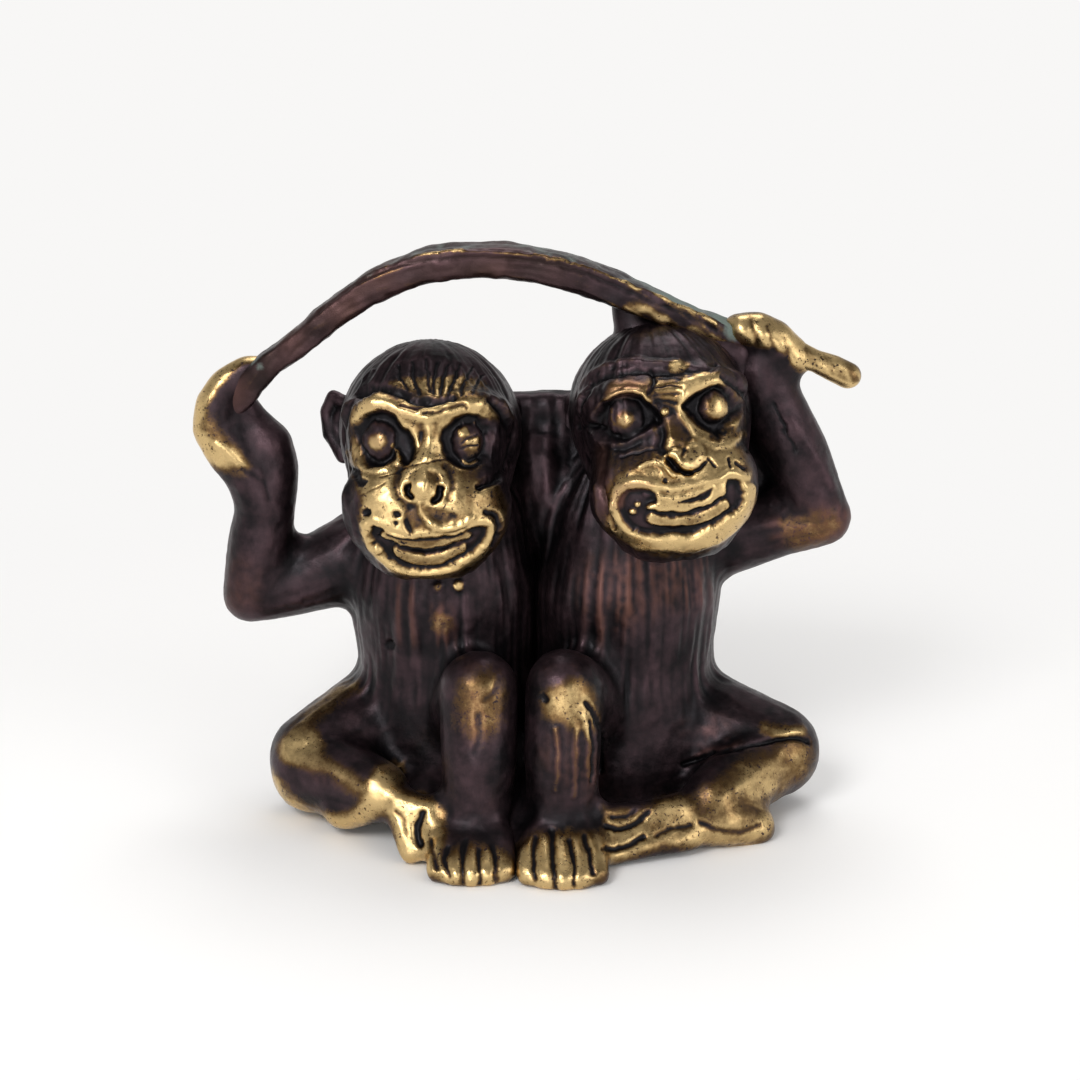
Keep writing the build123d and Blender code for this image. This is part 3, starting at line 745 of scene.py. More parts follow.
# Chains of balls (x, y, z, radius) in millimetres that flow into each other. The first is the trunk
LEFT_MASSES = (
    ((-8.84, 3, 4.2, 10.8), (-8.5, 3, 15, 9.5), (-8.77, 3, 22.8, 10), (-8.84, 3.6, 28.8, 9.2),
        (-9.01, 4, 34.8, 6.4)),
    ((-17.0, 3.5, 26.1, 4.8), (-23.8, 2.4, 23.58, 3.7), (-29.17, 1, 22.3, 2.95)),
    ((-29.0, 1, 22.8, 3.1), (-27.95, 1, 28.8, 3.2), (-27.26, 1, 32.18, 3.0)),
    ((-3.4, 9.2, 30, 4.2), (2.04, 10.2, 38.1, 3.9), (10.2, 12, 36, 2.7)),
    ((-12.58, 3, 8.4, 7.0), (-22.34, -4.2, 5.76, 4.9)),
    ((-22.3, -5.4, 5.0, 4.6), (-15.2, -12, 5.4, 3.1)),
    ((-6.46, 0, 7.5, 5.0), (-4.83, -12, 16.6, 3.9)),
    ((-4.83, -12, 16.6, 3.9), (-4.83, -14, 10.2, 3.75), (-5.1, -14.6, 4.5, 3.3), (-5.3, -15.6, 2.0, 2.8)),
    ((-7.4, -16.8, 1.7, 2.4), (-3.4, -16.8, 1.7, 2.4)),
    # inner foot: broad and low, its toes side by side
    *row((-5.4, -17.6, 2.9, 1.4), (-5.45, -20.2, 1.9, 1.3), (-5.5, -22.4, 0.95, 1.1), (1.3, 1.55, 1.72), 5,
        0.26),
    # outer foot: a knob and two lobes that meet at the bottom
    ((-18.75, -10.5, 3.28, 2.6), (-15.47, -12.5, 4.65, 2.2), (-13.12, -14, 5.12, 1.8)),
    ((-13.1, -14.2, 5.21, 1.7), (-12.42, -16, 3.39, 1.35), (-11.67, -17.5, 1.11, 1.15)),
    ((-13.1, -14.2, 5.21, 1.7), (-10.2, -15.5, 4.71, 1.5), (-9.27, -16.5, 3.4, 1.2),
        (-10.36, -17.5, 1.45, 1.1)),
    # hand: a smooth rim round the leaf's end, its palm behind
    ((-27.26, 0.8, 32.18, 3), (-28.69, 0.5, 35.74, 2.6), (-30.81, 0.2, 38.24, 2.35),
        (-32.19, 0.3, 40.62, 2.2), (-32.05, 0.5, 43.02, 2.0), (-30.9, 0.8, 45.1, 1.7), (-28.7, 1.1, 46.5, 1.5),
        (-27.19, 1.3, 46.77, 1.2)),
    ((-27.29, 1, 32.12, 3), (-26.52, 1, 35.92, 2.75), (-26.86, 1.2, 38.45, 2.6), (-28.68, 1.6, 40.7, 2.1),
        (-29.42, 1.6, 42.84, 1.5)),
)
RIGHT_MASSES = (
    ((10.61, 3, 4.2, 10.8), (10.13, 3, 15, 9.5), (10.4, 3, 22.8, 10), (10.88, 3.6, 28.8, 9.2),
        (11.22, 4, 34.8, 6.4)),
    ((20.4, 3.5, 28.5, 4.8), (26.52, 2.4, 30, 3.7), (30.9, 1, 30.9, 2.95)),
    ((30.6, 1, 31.4, 2.9), (27.9, 1, 37.8, 3.3), (25.2, 1.3, 43.0, 3.2), (23.91, 1.4, 46.27, 3.2)),
    ((20.4, 5, 29, 4.4), (22.8, 5.4, 44.0, 3.0)),
    ((3.06, 3.4, 30, 4.2), (1.02, 3.4, 36.6, 3.0)),
    ((-2.4, 4.6, 41.6, 1.7), (5.4, 4.6, 41.8, 1.7)),
    ((-2.0, 4.4, 38.4, 2.2), (5.0, 4.4, 38.4, 2.2)),
    ((-1.5, 4.2, 34.0, 2.6), (4.5, 4.2, 34.0, 2.6)),
    ((13.94, 3, 7.8, 7.0), (26.1, -2.8, 6.0, 4.9)),
    ((26.1, -2.8, 5.6, 4.4), (19.04, -11.6, 4.2, 3.2)),
    ((7.48, 0, 7.5, 5.0), (3.81, -12, 16.8, 3.9)),
    ((3.81, -12, 16.8, 3.9), (3.57, -14.2, 10.2, 3.75), (3.67, -14.8, 4.5, 3.3), (3.6, -16.0, 2.1, 2.8)),
    ((-0.8, -6.0, 6.0, 4.0), (-0.9, -13.2, 2.8, 2.3), (-0.9, -17.0, 1.6, 1.5)),
    ((1.7, -17.2, 1.7, 2.4), (5.4, -17.2, 1.7, 2.4)),
    # inner foot
    *row((3.5, -18.2, 3.0, 1.4), (3.5, -20.9, 2.0, 1.32), (3.6, -23.2, 1.0, 1.12), (1.3, 1.6, 1.78), 5, 0.28),
    # outer foot lies along the floor with its toes to the left
    ((23.65, -11.6, 1.3, 2), (20.01, -12.8, 2.55, 2.7), (16.46, -13.6, 2.7, 2.4), (13.98, -14.2, 2.53, 1.8)),
    ((15.19, -14, 4.01, 1.9), (12.48, -15, 4.47, 1.2), (9.62, -15.6, 4.75, 1), (8.61, -15.8, 4.4, 1.1)),
    ((14.74, -15, 3.14, 1.4), (12.06, -16, 2.83, 1.1), (8.79, -17, 2.76, 1)),
    ((16.56, -15.5, 1.81, 1.3), (13.46, -16.6, 1.79, 1.15), (10.18, -17.8, 1.48, 1.05), (8.56, -18.3, 1.17, 1)),
    # hand: soft knuckles over the stalk
    ((21.45, 0.6, 50.95, 1.6), (23.27, 0.4, 50.85, 1.95), (25.22, 0.3, 49.95, 1.95),
        (27.1, 0.3, 48.42, 1.6), (28.44, 0.3, 47.9, 1.2)),
    ((21.54, -0.3, 51.9, 0.75), (21.69, -1.0, 51.1, 0.85)),
    ((23.55, -0.4, 51.8, 0.75), (23.8, -1.2, 50.6, 0.85)),
    ((25.39, -0.4, 51.0, 0.7), (25.44, -1.2, 49.7, 0.85)),
    ((26.97, -0.3, 49.5, 0.7), (26.94, -0.9, 48.2, 0.8)),
)

# The bodies as drawn from the front, read as the faces are
LEFT_MARKINGS = (
    # hand: bare rim and heel
    ("area", 0.0, 12, 0.82, ((170, 330), (262, 345), (260, 360), (240, 366), (222, 384), (208, 404),
        (200, 424), (208, 436), (222, 444), (238, 454), (246, 466), (232, 464), (214, 466), (170, 445))),
    ("area", 0.0, 22, 0.4, ((196, 400), (232, 440), (252, 462), (244, 476), (222, 470), (196, 440))),
    ("line", 0.15, 5, 0.3, ((216, 445), (228, 452), (238, 462))),
    ("line", -0.1, 4.5, -0.3, ((244, 470), (262, 482), (270, 500))),
    # breast
    ("dome", 0.3, 6, 0.6, ((459, 586),)),
    ("dome", 0.25, 5, 0.2, ((437, 586),)),
    ("dome", -0.3, 6, -0.5, ((389, 646),)),
    ("area", 0.1, 14, 0.38, ((432, 616), (442, 612), (452, 618), (453, 632), (440, 635), (430, 628))),
    ("line", 0.1, 5, 0.0, ((466, 596), (466, 612), (470, 630))),
    # outer leg
    ("line", 0.0, 20, 0.5, ((352, 686), (330, 700), (308, 720), (292, 742))),
    ("line", 0.0, 22, 0.85, ((290, 750), (300, 748), (312, 744))),
    ("line", 0.0, 18, 0.6, ((300, 758), (322, 764), (340, 774), (356, 786))),
    # bare brass band along the outer shin's lower edge: partly rubbed metal, partly a painted highlight
    ("line", 0.0, 22, 0.9, ((272, 790), (282, 802), (300, 814), (326, 824), (348, 824), (366, 812),
        (378, 794), (386, 778), (394, 770))),
    ("line", 0.0, 12, 0.5, ((270, 772), (272, 790))),
    # outer foot
    ("area", 0.0, 20, 0.8, ((376, 776), (396, 772), (406, 790), (426, 796), (448, 812), (442, 842),
        (426, 870), (402, 870), (394, 830), (380, 806))),
    ("line", -0.35, 5.5, -0.75, ((423, 812), (418, 826), (419, 844))),
    ("line", -0.1, 4, -0.3, ((396, 812), (404, 820), (408, 834))),
    # inner knee and foot
    ("area", 0.0, 34, 0.45, ((456, 690), (468, 676), (488, 670), (503, 682), (506, 706), (500, 728),
        (488, 738), (472, 740), (458, 724))),
    ("line", -0.08, 5, -0.25, ((484, 700), (494, 690), (498, 678))),
    ("line", -0.1, 6, -0.3, ((478, 716), (480, 735), (476, 752))),
    ("area", 0.0, 36, 0.8, ((432, 866), (458, 852), (490, 850), (508, 858), (512, 872), (492, 890),
        (462, 890), (440, 878))),
    ("line", -0.22, 4.5, -0.5, ((447, 848), (444, 860), (449, 876))),
    ("line", -0.22, 5, -0.5, ((466, 842), (462, 858), (463, 884))),
    ("line", -0.2, 4, -0.45, ((478, 850), (480, 866), (479, 886))),
    ("line", -0.22, 4.5, -0.5, ((491, 846), (496, 862), (496, 880))),
    ("line", -0.2, 5, -0.4, ((430, 842), (433, 856), (436, 868))),
)
RIGHT_MARKINGS = (
    # web between the heads
    ("line", 0.15, 8, 0.0, ((548, 396), (549, 440), (548, 505))),
    ("line", 0.1, 7, 0.0, ((532, 400), (531, 450), (534, 500)), ((562, 400), (564, 450), (566, 500))),
    # hand and stalk side
    ("area", 0.0, 12, 0.72, ((726, 318), (746, 312), (772, 316), (792, 326), (808, 342), (832, 352),
        (830, 372), (800, 372), (780, 352), (750, 346), (730, 342))),
    ("line", -0.1, 5, -0.3, ((750, 318), (753, 330), (757, 342)), ((768, 326), (771, 338), (774, 350))),
    ("line", -0.08, 5, -0.25, ((785, 338), (787, 352), (790, 364))),
    # arm
    ("line", -0.3, 3, -0.5, ((773, 404), (781, 418), (787, 432))),
    ("line", -0.25, 2.5, -0.4, ((782, 430), (790, 440), (796, 452))),
    ("line", 0.15, 8, 0.0, ((792, 420), (812, 450), (832, 486))),
    ("area", 0.0, 24, 0.38, ((780, 520), (810, 510), (836, 512), (842, 530), (820, 545), (790, 550))),
    # outer leg
    ("line", -0.5, 4, -0.8, ((684, 764), (720, 752), (760, 742), (798, 738), (808, 741))),
    ("line", 0.1, 12, 0.55, ((764, 728), (786, 732), (800, 731))),
    ("area", 0.0, 30, 0.55, ((735, 762), (775, 748), (806, 744), (814, 762), (800, 782), (776, 794),
        (748, 796), (740, 776))),
    ("area", 0.0, 30, 0.5, ((690, 795), (740, 770), (780, 790), (772, 830), (730, 836), (700, 815))),
    # outer foot
    ("area", 0.0, 24, 0.66, ((600, 812), (612, 810), (640, 812), (664, 796), (690, 800), (706, 822),
        (740, 836), (768, 820), (764, 840), (738, 852), (700, 850), (664, 846), (630, 858), (604, 864),
        (600, 840))),
    ("line", -0.25, 4.5, -0.6, ((606, 826), (622, 829), (638, 822), (648, 812))),
    ("line", -0.15, 4, -0.4, ((612, 816), (626, 817), (636, 810))),
    ("line", -0.12, 4, -0.3, ((656, 836), (672, 828), (690, 826))),
    ("line", -0.25, 4.5, -0.6, ((604, 849), (624, 847), (644, 837))),
    ("line", -0.15, 5, -0.3, ((700, 822), (716, 830), (740, 832), (760, 826))),
    # inner knee, shin and foot
    ("area", 0.0, 30, 0.68, ((542, 700), (554, 688), (576, 680), (590, 690), (596, 712), (592, 730),
        (572, 728), (556, 722), (545, 716))),
    ("line", -0.35, 4, -0.8, ((586, 704), (596, 718), (602, 742), (600, 770))),
    ("line", -0.3, 3, -0.6, ((590, 722), (594, 745), (592, 780))),
    ("line", 0.15, 5, 0.25, ((583, 716), (588, 740), (588, 776))),
    ("line", 0.15, 5, 0.2, ((556, 730), (558, 760), (556, 790)), ((576, 730), (576, 760), (574, 796))),
    ("line", -0.25, 7, -0.6, ((543, 697), (545, 699))),
    ("area", 0.0, 40, 0.85, ((514, 856), (540, 836), (575, 834), (602, 842), (602, 866), (580, 892),
        (552, 896), (526, 884))),
    ("line", -0.22, 4.5, -0.5, ((536, 838), (533, 856), (536, 880))),
    ("line", -0.24, 5, -0.55, ((552, 830), (552, 858), (556, 890))),
    ("line", -0.22, 4, -0.5, ((569, 840), (574, 860), (574, 886))),
    ("line", -0.22, 4.5, -0.5, ((584, 836), (590, 856), (593, 874))),
)

# Bare metal elsewhere, where shelves and hands have rubbed it, in millimetres
LEFT_RUBBED = (
    (-30.5, 5.6, 43.0, 3.4, 0.7), (-29.6, 3.6, 21.6, 2.6, 0.45), (-22.4, 2.5, 3.0, 3.5, 0.5),
    (-9.0, 14.2, 20.0, 5.0, 0.4), (-9.0, 13.0, 4.0, 5.0, 0.45),
)
RIGHT_RUBBED = (
    (25.2, 4.6, 49.6, 3.2, 0.7), (30.6, 3.4, 30.6, 2.6, 0.5), (25.6, 3.0, 3.4, 3.5, 0.5),
    (10.6, 14.2, 20.0, 5.0, 0.4), (10.6, 13.0, 4.0, 5.0, 0.45), (6.0, 13.2, 38.0, 2.6, 0.4),
)

# Warm film on breasts, knees and elbows: amount, softness, corners
LEFT_WARM = (
    (0.5, 12, ((430, 610), (450, 606), (458, 640), (440, 644))),
    (0.45, 14, ((398, 590), (412, 586), (416, 640), (400, 640))),
    (0.5, 18, ((462, 700), (484, 690), (490, 730), (466, 740))),
    (0.35, 14, ((300, 750), (350, 770), (356, 790), (310, 776))),
    (0.3, 24, ((212, 560), (250, 560), (260, 600), (220, 610))),
)
RIGHT_WARM = (
    (0.6, 34, ((584, 566), (640, 556), (706, 560), (704, 600), (650, 612), (610, 640), (588, 624))),
    (0.6, 24, ((770, 520), (840, 505), (850, 530), (800, 555))),
    (0.3, 20, ((540, 760), (560, 730), (600, 760), (590, 800))),
    (0.35, 20, ((680, 726), (720, 716), (740, 740), (700, 756))),
)

BODY_PARTS = (
    "torso", "upper_arm", "forearm", "hand", "inner_arm", "outer_thigh", "outer_shin", "outer_foot",
    "inner_thigh", "inner_shin", "inner_foot",
)
TRUNK_RADIUS = 9.8


def combed(points, chains):
    """Places round and along the nearest limb, and how far past its ends, for combing its fur."""
    best = np.full(len(points), 1e9)
    around = np.zeros(len(points))
    along = np.zeros(len(points))
    past = np.zeros(len(points))
    for number, chain in enumerate(chains):
        run = 0.0
        for start, end in zip(chain, chain[1:]):
            a, b = np.array(start[:3]), np.array(end[:3])
            way = b - a
            length = np.linalg.norm(way)
            way /= length
            side = np.cross(way, (0.13, 1.0, 0.21))
            side /= np.linalg.norm(side)
            other = np.cross(way, side)
            offset = points - a
            level = offset @ way
            travel = np.clip(level, 0, length)
            radius = start[3] + (end[3] - start[3]) * travel / length
            out = offset - travel[:, None] * way
            gap = np.linalg.norm(out, axis=1) - radius
            closer = gap < best
            best = np.where(closer, gap, best)
            angle = np.arctan2(out @ other, out @ side)
            # each limb's fur starts elsewhere in the noise
            around = np.where(closer, angle * (start[3] + end[3]) / 2 + 30.0 * number, around)
            along = np.where(closer, travel + run + 17.0 * number, along)
            past = np.where(closer, np.abs(level - travel) / radius, past)
            run += length
    return around, along, past


def build_body(side, masses, markings, rubbed, warm, sizes):
    """A monkey's trunk and limbs as one flowing casting, with hands, feet and combed fur."""
    body = new_piece(f"{side}_monkey_body", capsules(*masses))
    flow_together(body, fillet=sizes.fillet / MM, **BODY_FLOW)
    work(body, remesh(sizes.body_grain / MM), relax(5))
    clay = Clay(body)
    clay.stand_on_floor()
    marks = drawn(clay.points)
    toward = -(clay.normals @ AHEAD)
    front, facing = fade(toward, *FRONT), fade(toward, -0.45, -0.05)
    clay.soften_normals(8)
    # fur runs down the trunk and along the limbs, and fades out at their ends, on hands and on feet
    x, y, z = clay.points.T
    middle_x, middle_y = masses[0][2][:2]
    around, along, past = combed(clay.points, masses[1:])
    trunk_around = np.arctan2(x - middle_x, middle_y - y) * TRUNK_RADIUS
    trunk_along = z + 2.0 * np.abs(np.sin(trunk_around / TRUNK_RADIUS))
    trunk_fur, limb_fur = (
        strands((a / 0.95, b / 7.0), (a / 0.5, b / 5.0), 90)
        for a, b in ((trunk_around, trunk_along), (around, along))
    )
    on_trunk = fade(TRUNK_RADIUS + 2.5 - np.hypot(x - middle_x, y - middle_y), 0, 1.5)
    torso = on_trunk * fade(z, 9, 14)
    fur = trunk_fur * torso * 1.7 + limb_fur * (1 - torso) * 0.4 * (1 - fade(past, 0.25, 0.7))
    thin_balls = [ball for chain in masses for ball in chain if ball[3] < 2]
    bare_skin = rubbed_by(clay.points, [(*ball[:3], ball[3] * 1.6 + 0.8, 1.0) for ball in thin_balls])
    fur_share = 1 - np.clip(1.3 * bare_skin, 0, 1)
    depth = fur * fur_share * sizes.fur_depth / MM + cast_grain(clay.points)
    polish = rubbed_by(clay.points, rubbed)
    depth, polish = carved(marks, markings, front, facing, depth, polish)
    above_floor = fade(clay.points[:, 2], 0.05, 0.4)
    clay.push(depth * above_floor)
    clay.settle()
    clay.stand_on_floor()
    ridges = clay.ridges(FINE_BLUR["body"])
    clay.store("polish", polish + ridges * 1.5 * (0.1 + polish))
    clay.store("hollow", LEVEL - ridges * FINE_HOLLOW - clay.ridges(WIDE_BLUR) * 0.6)
    clay.store("copper", warm_film(marks, warm) * facing * fade(ridges, -0.02, 0.06))
    thinned(body)
    return body


# Leaf

# Middle line of the leaf in millimetres: x, z, thickness, depth
LEAF_LINE = (
    (-33.1, 40.7, 1.6, 1.6), (-32.3, 41.5, 2.8, 2.4), (-31.13, 42.67, 3.5, 2.7), (-29.43, 44.24, 3.5, 3.0),
    (-27.74, 45.92, 2.9, 3.1), (-25.84, 47.69, 2.6, 3.1), (-23.3, 49.5, 2.75, 3.7), (-19.0, 53.0, 2.9, 4.2),
    (-14.6, 55.8, 3.15, 4.4), (-9.6, 57.55, 3.3, 4.6), (-4.25, 58.1, 3.35, 4.6), (1.2, 57.5, 3.45, 4.6),
    (6.46, 56.05, 3.5, 4.6), (11.0, 54.2, 3.2, 4.5), (14.96, 52.6, 2.85, 4.2), (19.0, 51.15, 2.4, 3.6),
    (21.6, 50.2, 2.0, 2.9), (22.8, 49.75, 1.2, 1.8),
)
LEAF_MIDDLE_Y = 0.5
# How square the leaf's section is: 2 is an ellipse
SQUARENESS = 5
# The arch as a circle, along which file marks run: its middle (x, z) and radius
ARCH_MIDDLE = (-4.5, 30.0)
ARCH_RADIUS = 28.0
# The stalk as a chain of balls
STALK = (
    (21.84, 0.4, 50.89, 1.3), (24.72, 0.4, 49.85, 1.3), (27.4, 0.3, 48.42, 1.45), (29.34, 0.1, 47.74, 1.15),
    (31.3, 0.1, 46.95, 1.35), (32.8, 0.1, 46.2, 1.35),
)
# Lines of the drawing along the leaf's front edge: a raised rim, the notch under it and a rubbed edge
LEAF_RIM = (
    (318, 305), (340, 289), (382, 266), (424, 255), (470, 252), (520, 254), (560, 260), (600, 272),
    (640, 289), (680, 305), (716, 324),
)
LEAF_NOTCH = (
    (318, 311), (340, 294), (382, 271), (424, 261), (470, 258), (520, 260), (560, 266), (600, 279),
    (640, 296), (680, 312), (716, 330),
)
LEAF_EDGE = ((628, 306), (660, 318), (690, 331), (712, 341), (730, 349))
# Spots on the leaf (x, y, z, reach, amount): rubbed bare round its tip, and green where it meets the hands
LEAF_RUBBED = ((-33.0, -0.6, 40.6, 1.5, 0.6), (-31.6, -1.2, 43.6, 0.8, 0.35))
LEAF_GREEN = ((-27.0, -1.0, 47.4, 1.0, 0.6), (21.0, -1.2, 51.2, 1.6, 0.9))
# The lump of metal between the leaf and the right monkey's crown, as chains of balls
PROP_MASSES = (
    ((10.4, 1.8, 53.2, 1.8), (11.2, 1.3, 49.8, 2.2), (10.0, 1.8, 46.4, 3.2)),
    ((11.3, 1.2, 50.2, 2.2), (16.0, 0.8, 49.6, 2.4), (21.0, 0.8, 48.4, 2.3)),
    ((10.2, 2.2, 46.4, 3.0), (16.0, 1.4, 47.4, 2.6), (21.5, 1.2, 46.5, 2.4)),
)


def ring_edges(*rings):
    """The edges that join the points of each ring."""
    return list({
        edge
        for ring in rings
        for point in ring
        for edge in point.link_edges
        if edge.other_vert(point) in ring
    })


def leaf_shape():
    """The leaf as rings bridged along its middle line, with pinched ends."""
    line = rounded(LEAF_LINE, False)
    shape = bmesh.new()
    rings = []
    for number, (x, z, thick, deep) in enumerate(line):
        before, after = line[max(number - 1, 0)], line[min(number + 1, len(line) - 1)]
        along = Vector((after[0] - before[0], 0, after[1] - before[1])).normalized()
        up = along.cross(Vector((0, 1, 0))) * -1
        place = Matrix((
            (0, up.x * thick / 2, along.x, x),
            (deep / 2, up.y * thick / 2, along.y, LEAF_MIDDLE_Y),
            (0, up.z * thick / 2, along.z, z),
            (0, 0, 0, 1),
        ))
        ring = bmesh.ops.create_circle(shape, cap_ends=False, segments=32, radius=1.0)["verts"]
        for corner in ring:
            angle = math.atan2(corner.co.y, corner.co.x)
            c, s = math.cos(angle), math.sin(angle)
            bulge = (abs(c) ** SQUARENESS + abs(s) ** SQUARENESS) ** (-1 / SQUARENESS)
            corner.co = place @ Vector((c * bulge, s * bulge, 0))
        rings.append(ring)
    for pair in zip(rings, rings[1:]):
        bmesh.ops.bridge_loops(shape, edges=ring_edges(*pair))
    for ring in (rings[0], rings[-1]):
        bmesh.ops.contextual_create(shape, geom=ring_edges(ring))
    bmesh.ops.recalc_face_normals(shape, faces=shape.faces[:])
    return shape


def build_leaf():
    """The long arched leaf with its stalk."""
    leaf = new_piece("arched_leaf", leaf_shape())
    join_shape(leaf, capsules(STALK))
    work(leaf, remesh(LEAF_GRAIN), relax(6))
    clay = Clay(leaf)
    marks = drawn(clay.points)
    facing = -clay.normals[:, 1]
    above = clay.normals[:, 2]
    x, y, z = clay.points.T
    rim = stroke(marks, "line", 3.0, LEAF_RIM) * fade(facing, 0.1, 0.5)
    notch = stroke(marks, "line", 3.5, LEAF_NOTCH) * fade(facing, 0.1, 0.5)
    # file marks run along the arch, and nicks across its underside
    arc = np.arctan2(x - ARCH_MIDDLE[0], z - ARCH_MIDDLE[1]) * ARCH_RADIUS
    level = np.hypot(x - ARCH_MIDDLE[0], z - ARCH_MIDDLE[1])
    filed = grain_noise(np.stack([arc / 3.5, level / 0.35, y / 0.8], axis=1), 17)
    nicks = grain_noise(np.stack([arc / 0.8, level / 3.0, y / 2.0], axis=1), 19)
    lumps = grain_noise(clay.points / (2.6, 3.0, 2.6), 5) * 0.15
    lumps = lumps + grain_noise(clay.points / (1.1, 1.4, 1.1), 9) * 0.09 + cast_grain(clay.points)
    lumps += 0.05 * filed + 0.12 * np.minimum(nicks, 0) * fade(-above, 0.1, 0.6)
    leaf_part = fade(-x, -23.5, -22.0)
    clay.push((lumps + 0.16 * rim - 0.14 * notch) * (0.25 + 0.75 * leaf_part))
    # rubbing, the green bloom and the painted sky reflection are laid out on the pushed points, before the tip
    # is sunk
    points = clay.points.copy()
    x = points[:, 0]
    # the tip in the hand is rounded and sunk
    tip = fade(-x, 27.5, 30.5)[:, None]
    clay.points = clay.points + (clay.blurred(clay.points, 30) + (0, 0.35, 0) - clay.points) * tip
    clay.settle()
    ridges = clay.ridges(FINE_BLUR["leaf"])
    ragged = 0.75 + 0.55 * nicks
    stalk_rub = fade(x, 21.5, 23.5) * (0.85 - 0.4 * fade(x, 30.5, 33))
    lower_edge = fade(x, 10, 15) * fade(-above, 0.15, 0.6) * fade(facing, -0.2, 0.4)
    front_edge = stroke(marks, "line", 9.0, LEAF_EDGE) * fade(facing, -0.2, 0.3)
    file_shine = 0.16 * filed * fade(facing, 0.2, 0.6)
    right_half = (0.08 + 0.25 * filed) * fade(facing, 0.1, 0.5) * fade(x, 5, 13)
    polish = stalk_rub + (lower_edge * 0.9 + 0.8 * front_edge) * ragged + rim * 0.12
    polish = polish + fade(ridges, 0.02, 0.1) * 0.35 + file_shine + right_half
    clay.store("polish", np.maximum(np.clip(polish, 0, 1), rubbed_by(points, LEAF_RUBBED)))
    clay.store("hollow", LEVEL - ridges * THIN_PIECE_HOLLOW)
    clay.store("copper", (0.18 + 0.2 * grain_noise(points / 3.0, 3)) * fade(-x, -10, 4))
    # painted reflection: the leaf's upward faces get the pale grey green of the sky they reflect, broken up
    # like a bloom; the spots by the hands are real verdigris
    bloom_and_sky_reflection = leaf_part * (0.42 + 0.35 * fade(x, 4, 20) + 0.2 * nicks) * fade(above, 0.55, 0.85)
    clay.store("verdigris_and_sky_reflection", bloom_and_sky_reflection + rubbed_by(points, LEAF_GREEN))
    return leaf


def build_prop():
    """The lump of metal between the leaf and the right monkey's crown."""
    prop = new_piece("leaf_prop", capsules(*PROP_MASSES))
    flow_together(prop, **PROP_FLOW)
    clay = Clay(prop)
    clay.push(grain_noise(clay.points / 2.0, 21) * 0.12)
    nothing = np.zeros(len(clay.points))
    clay.store("polish", nothing)
    clay.store("hollow", LEVEL - clay.ridges(FINE_BLUR["leaf"]) * THIN_PIECE_HOLLOW)
    clay.store("copper", nothing)
    return prop


# Finishes

# Settings of the nodes that are used most
SMOOTH = {"interpolation_type": "SMOOTHSTEP"}
TIMES = {"operation": "MULTIPLY"}
TIMES_PLUS = {"operation": "MULTIPLY_ADD"}
COLOURS = {"data_type": "RGBA", "output": 2}
# Patterns in the patina: size of a lump in millimetres, detail, roughness. The grit and the grains
# of a real casting are as fine as 0.1, and are drawn as coarse as they need to show
PATTERNS = {
    "wear": (1.6, 5, 0.65),
    "grains": (0.28, 3, 0.6),
    "specks": (0.32, 3, 0.6),
    "speckled": (2.4, 3, 0.6),
    "mottling": (4.0, 4, 0.6),
    "tints": (2.8, 5, 0.6),
    "sheen": (0.5, 5, 0.6),
    "grit": (0.22, 4, 0.6),
    "bloom_and_sky_reflection": (1.8, 5, 0.7),
}


def add_node(tree, kind, inputs=None, output=0, **settings):
    """Adds a node, sets its properties, sets or links its inputs, and gives the output asked for."""
    made = tree.nodes.new(kind)
    for key, value in settings.items():
        setattr(made, key, value)
    for key, value in (inputs or {}).items():
        if isinstance(value, bpy.types.NodeSocket):
            tree.links.new(value, made.inputs[key])
        else:
            made.inputs[key].default_value = value
    return made.outputs[output] if made.outputs else None


def emptied(owner):
    """Clears the nodes of a material or a world, and gives the function that adds nodes to it."""
    owner.use_nodes = True
    owner.node_tree.nodes.clear()
    return partial(add_node, owner.node_tree)


def rgba(colour):
    """A colour property as the four numbers that a socket takes."""
    return (*colour, 1.0)


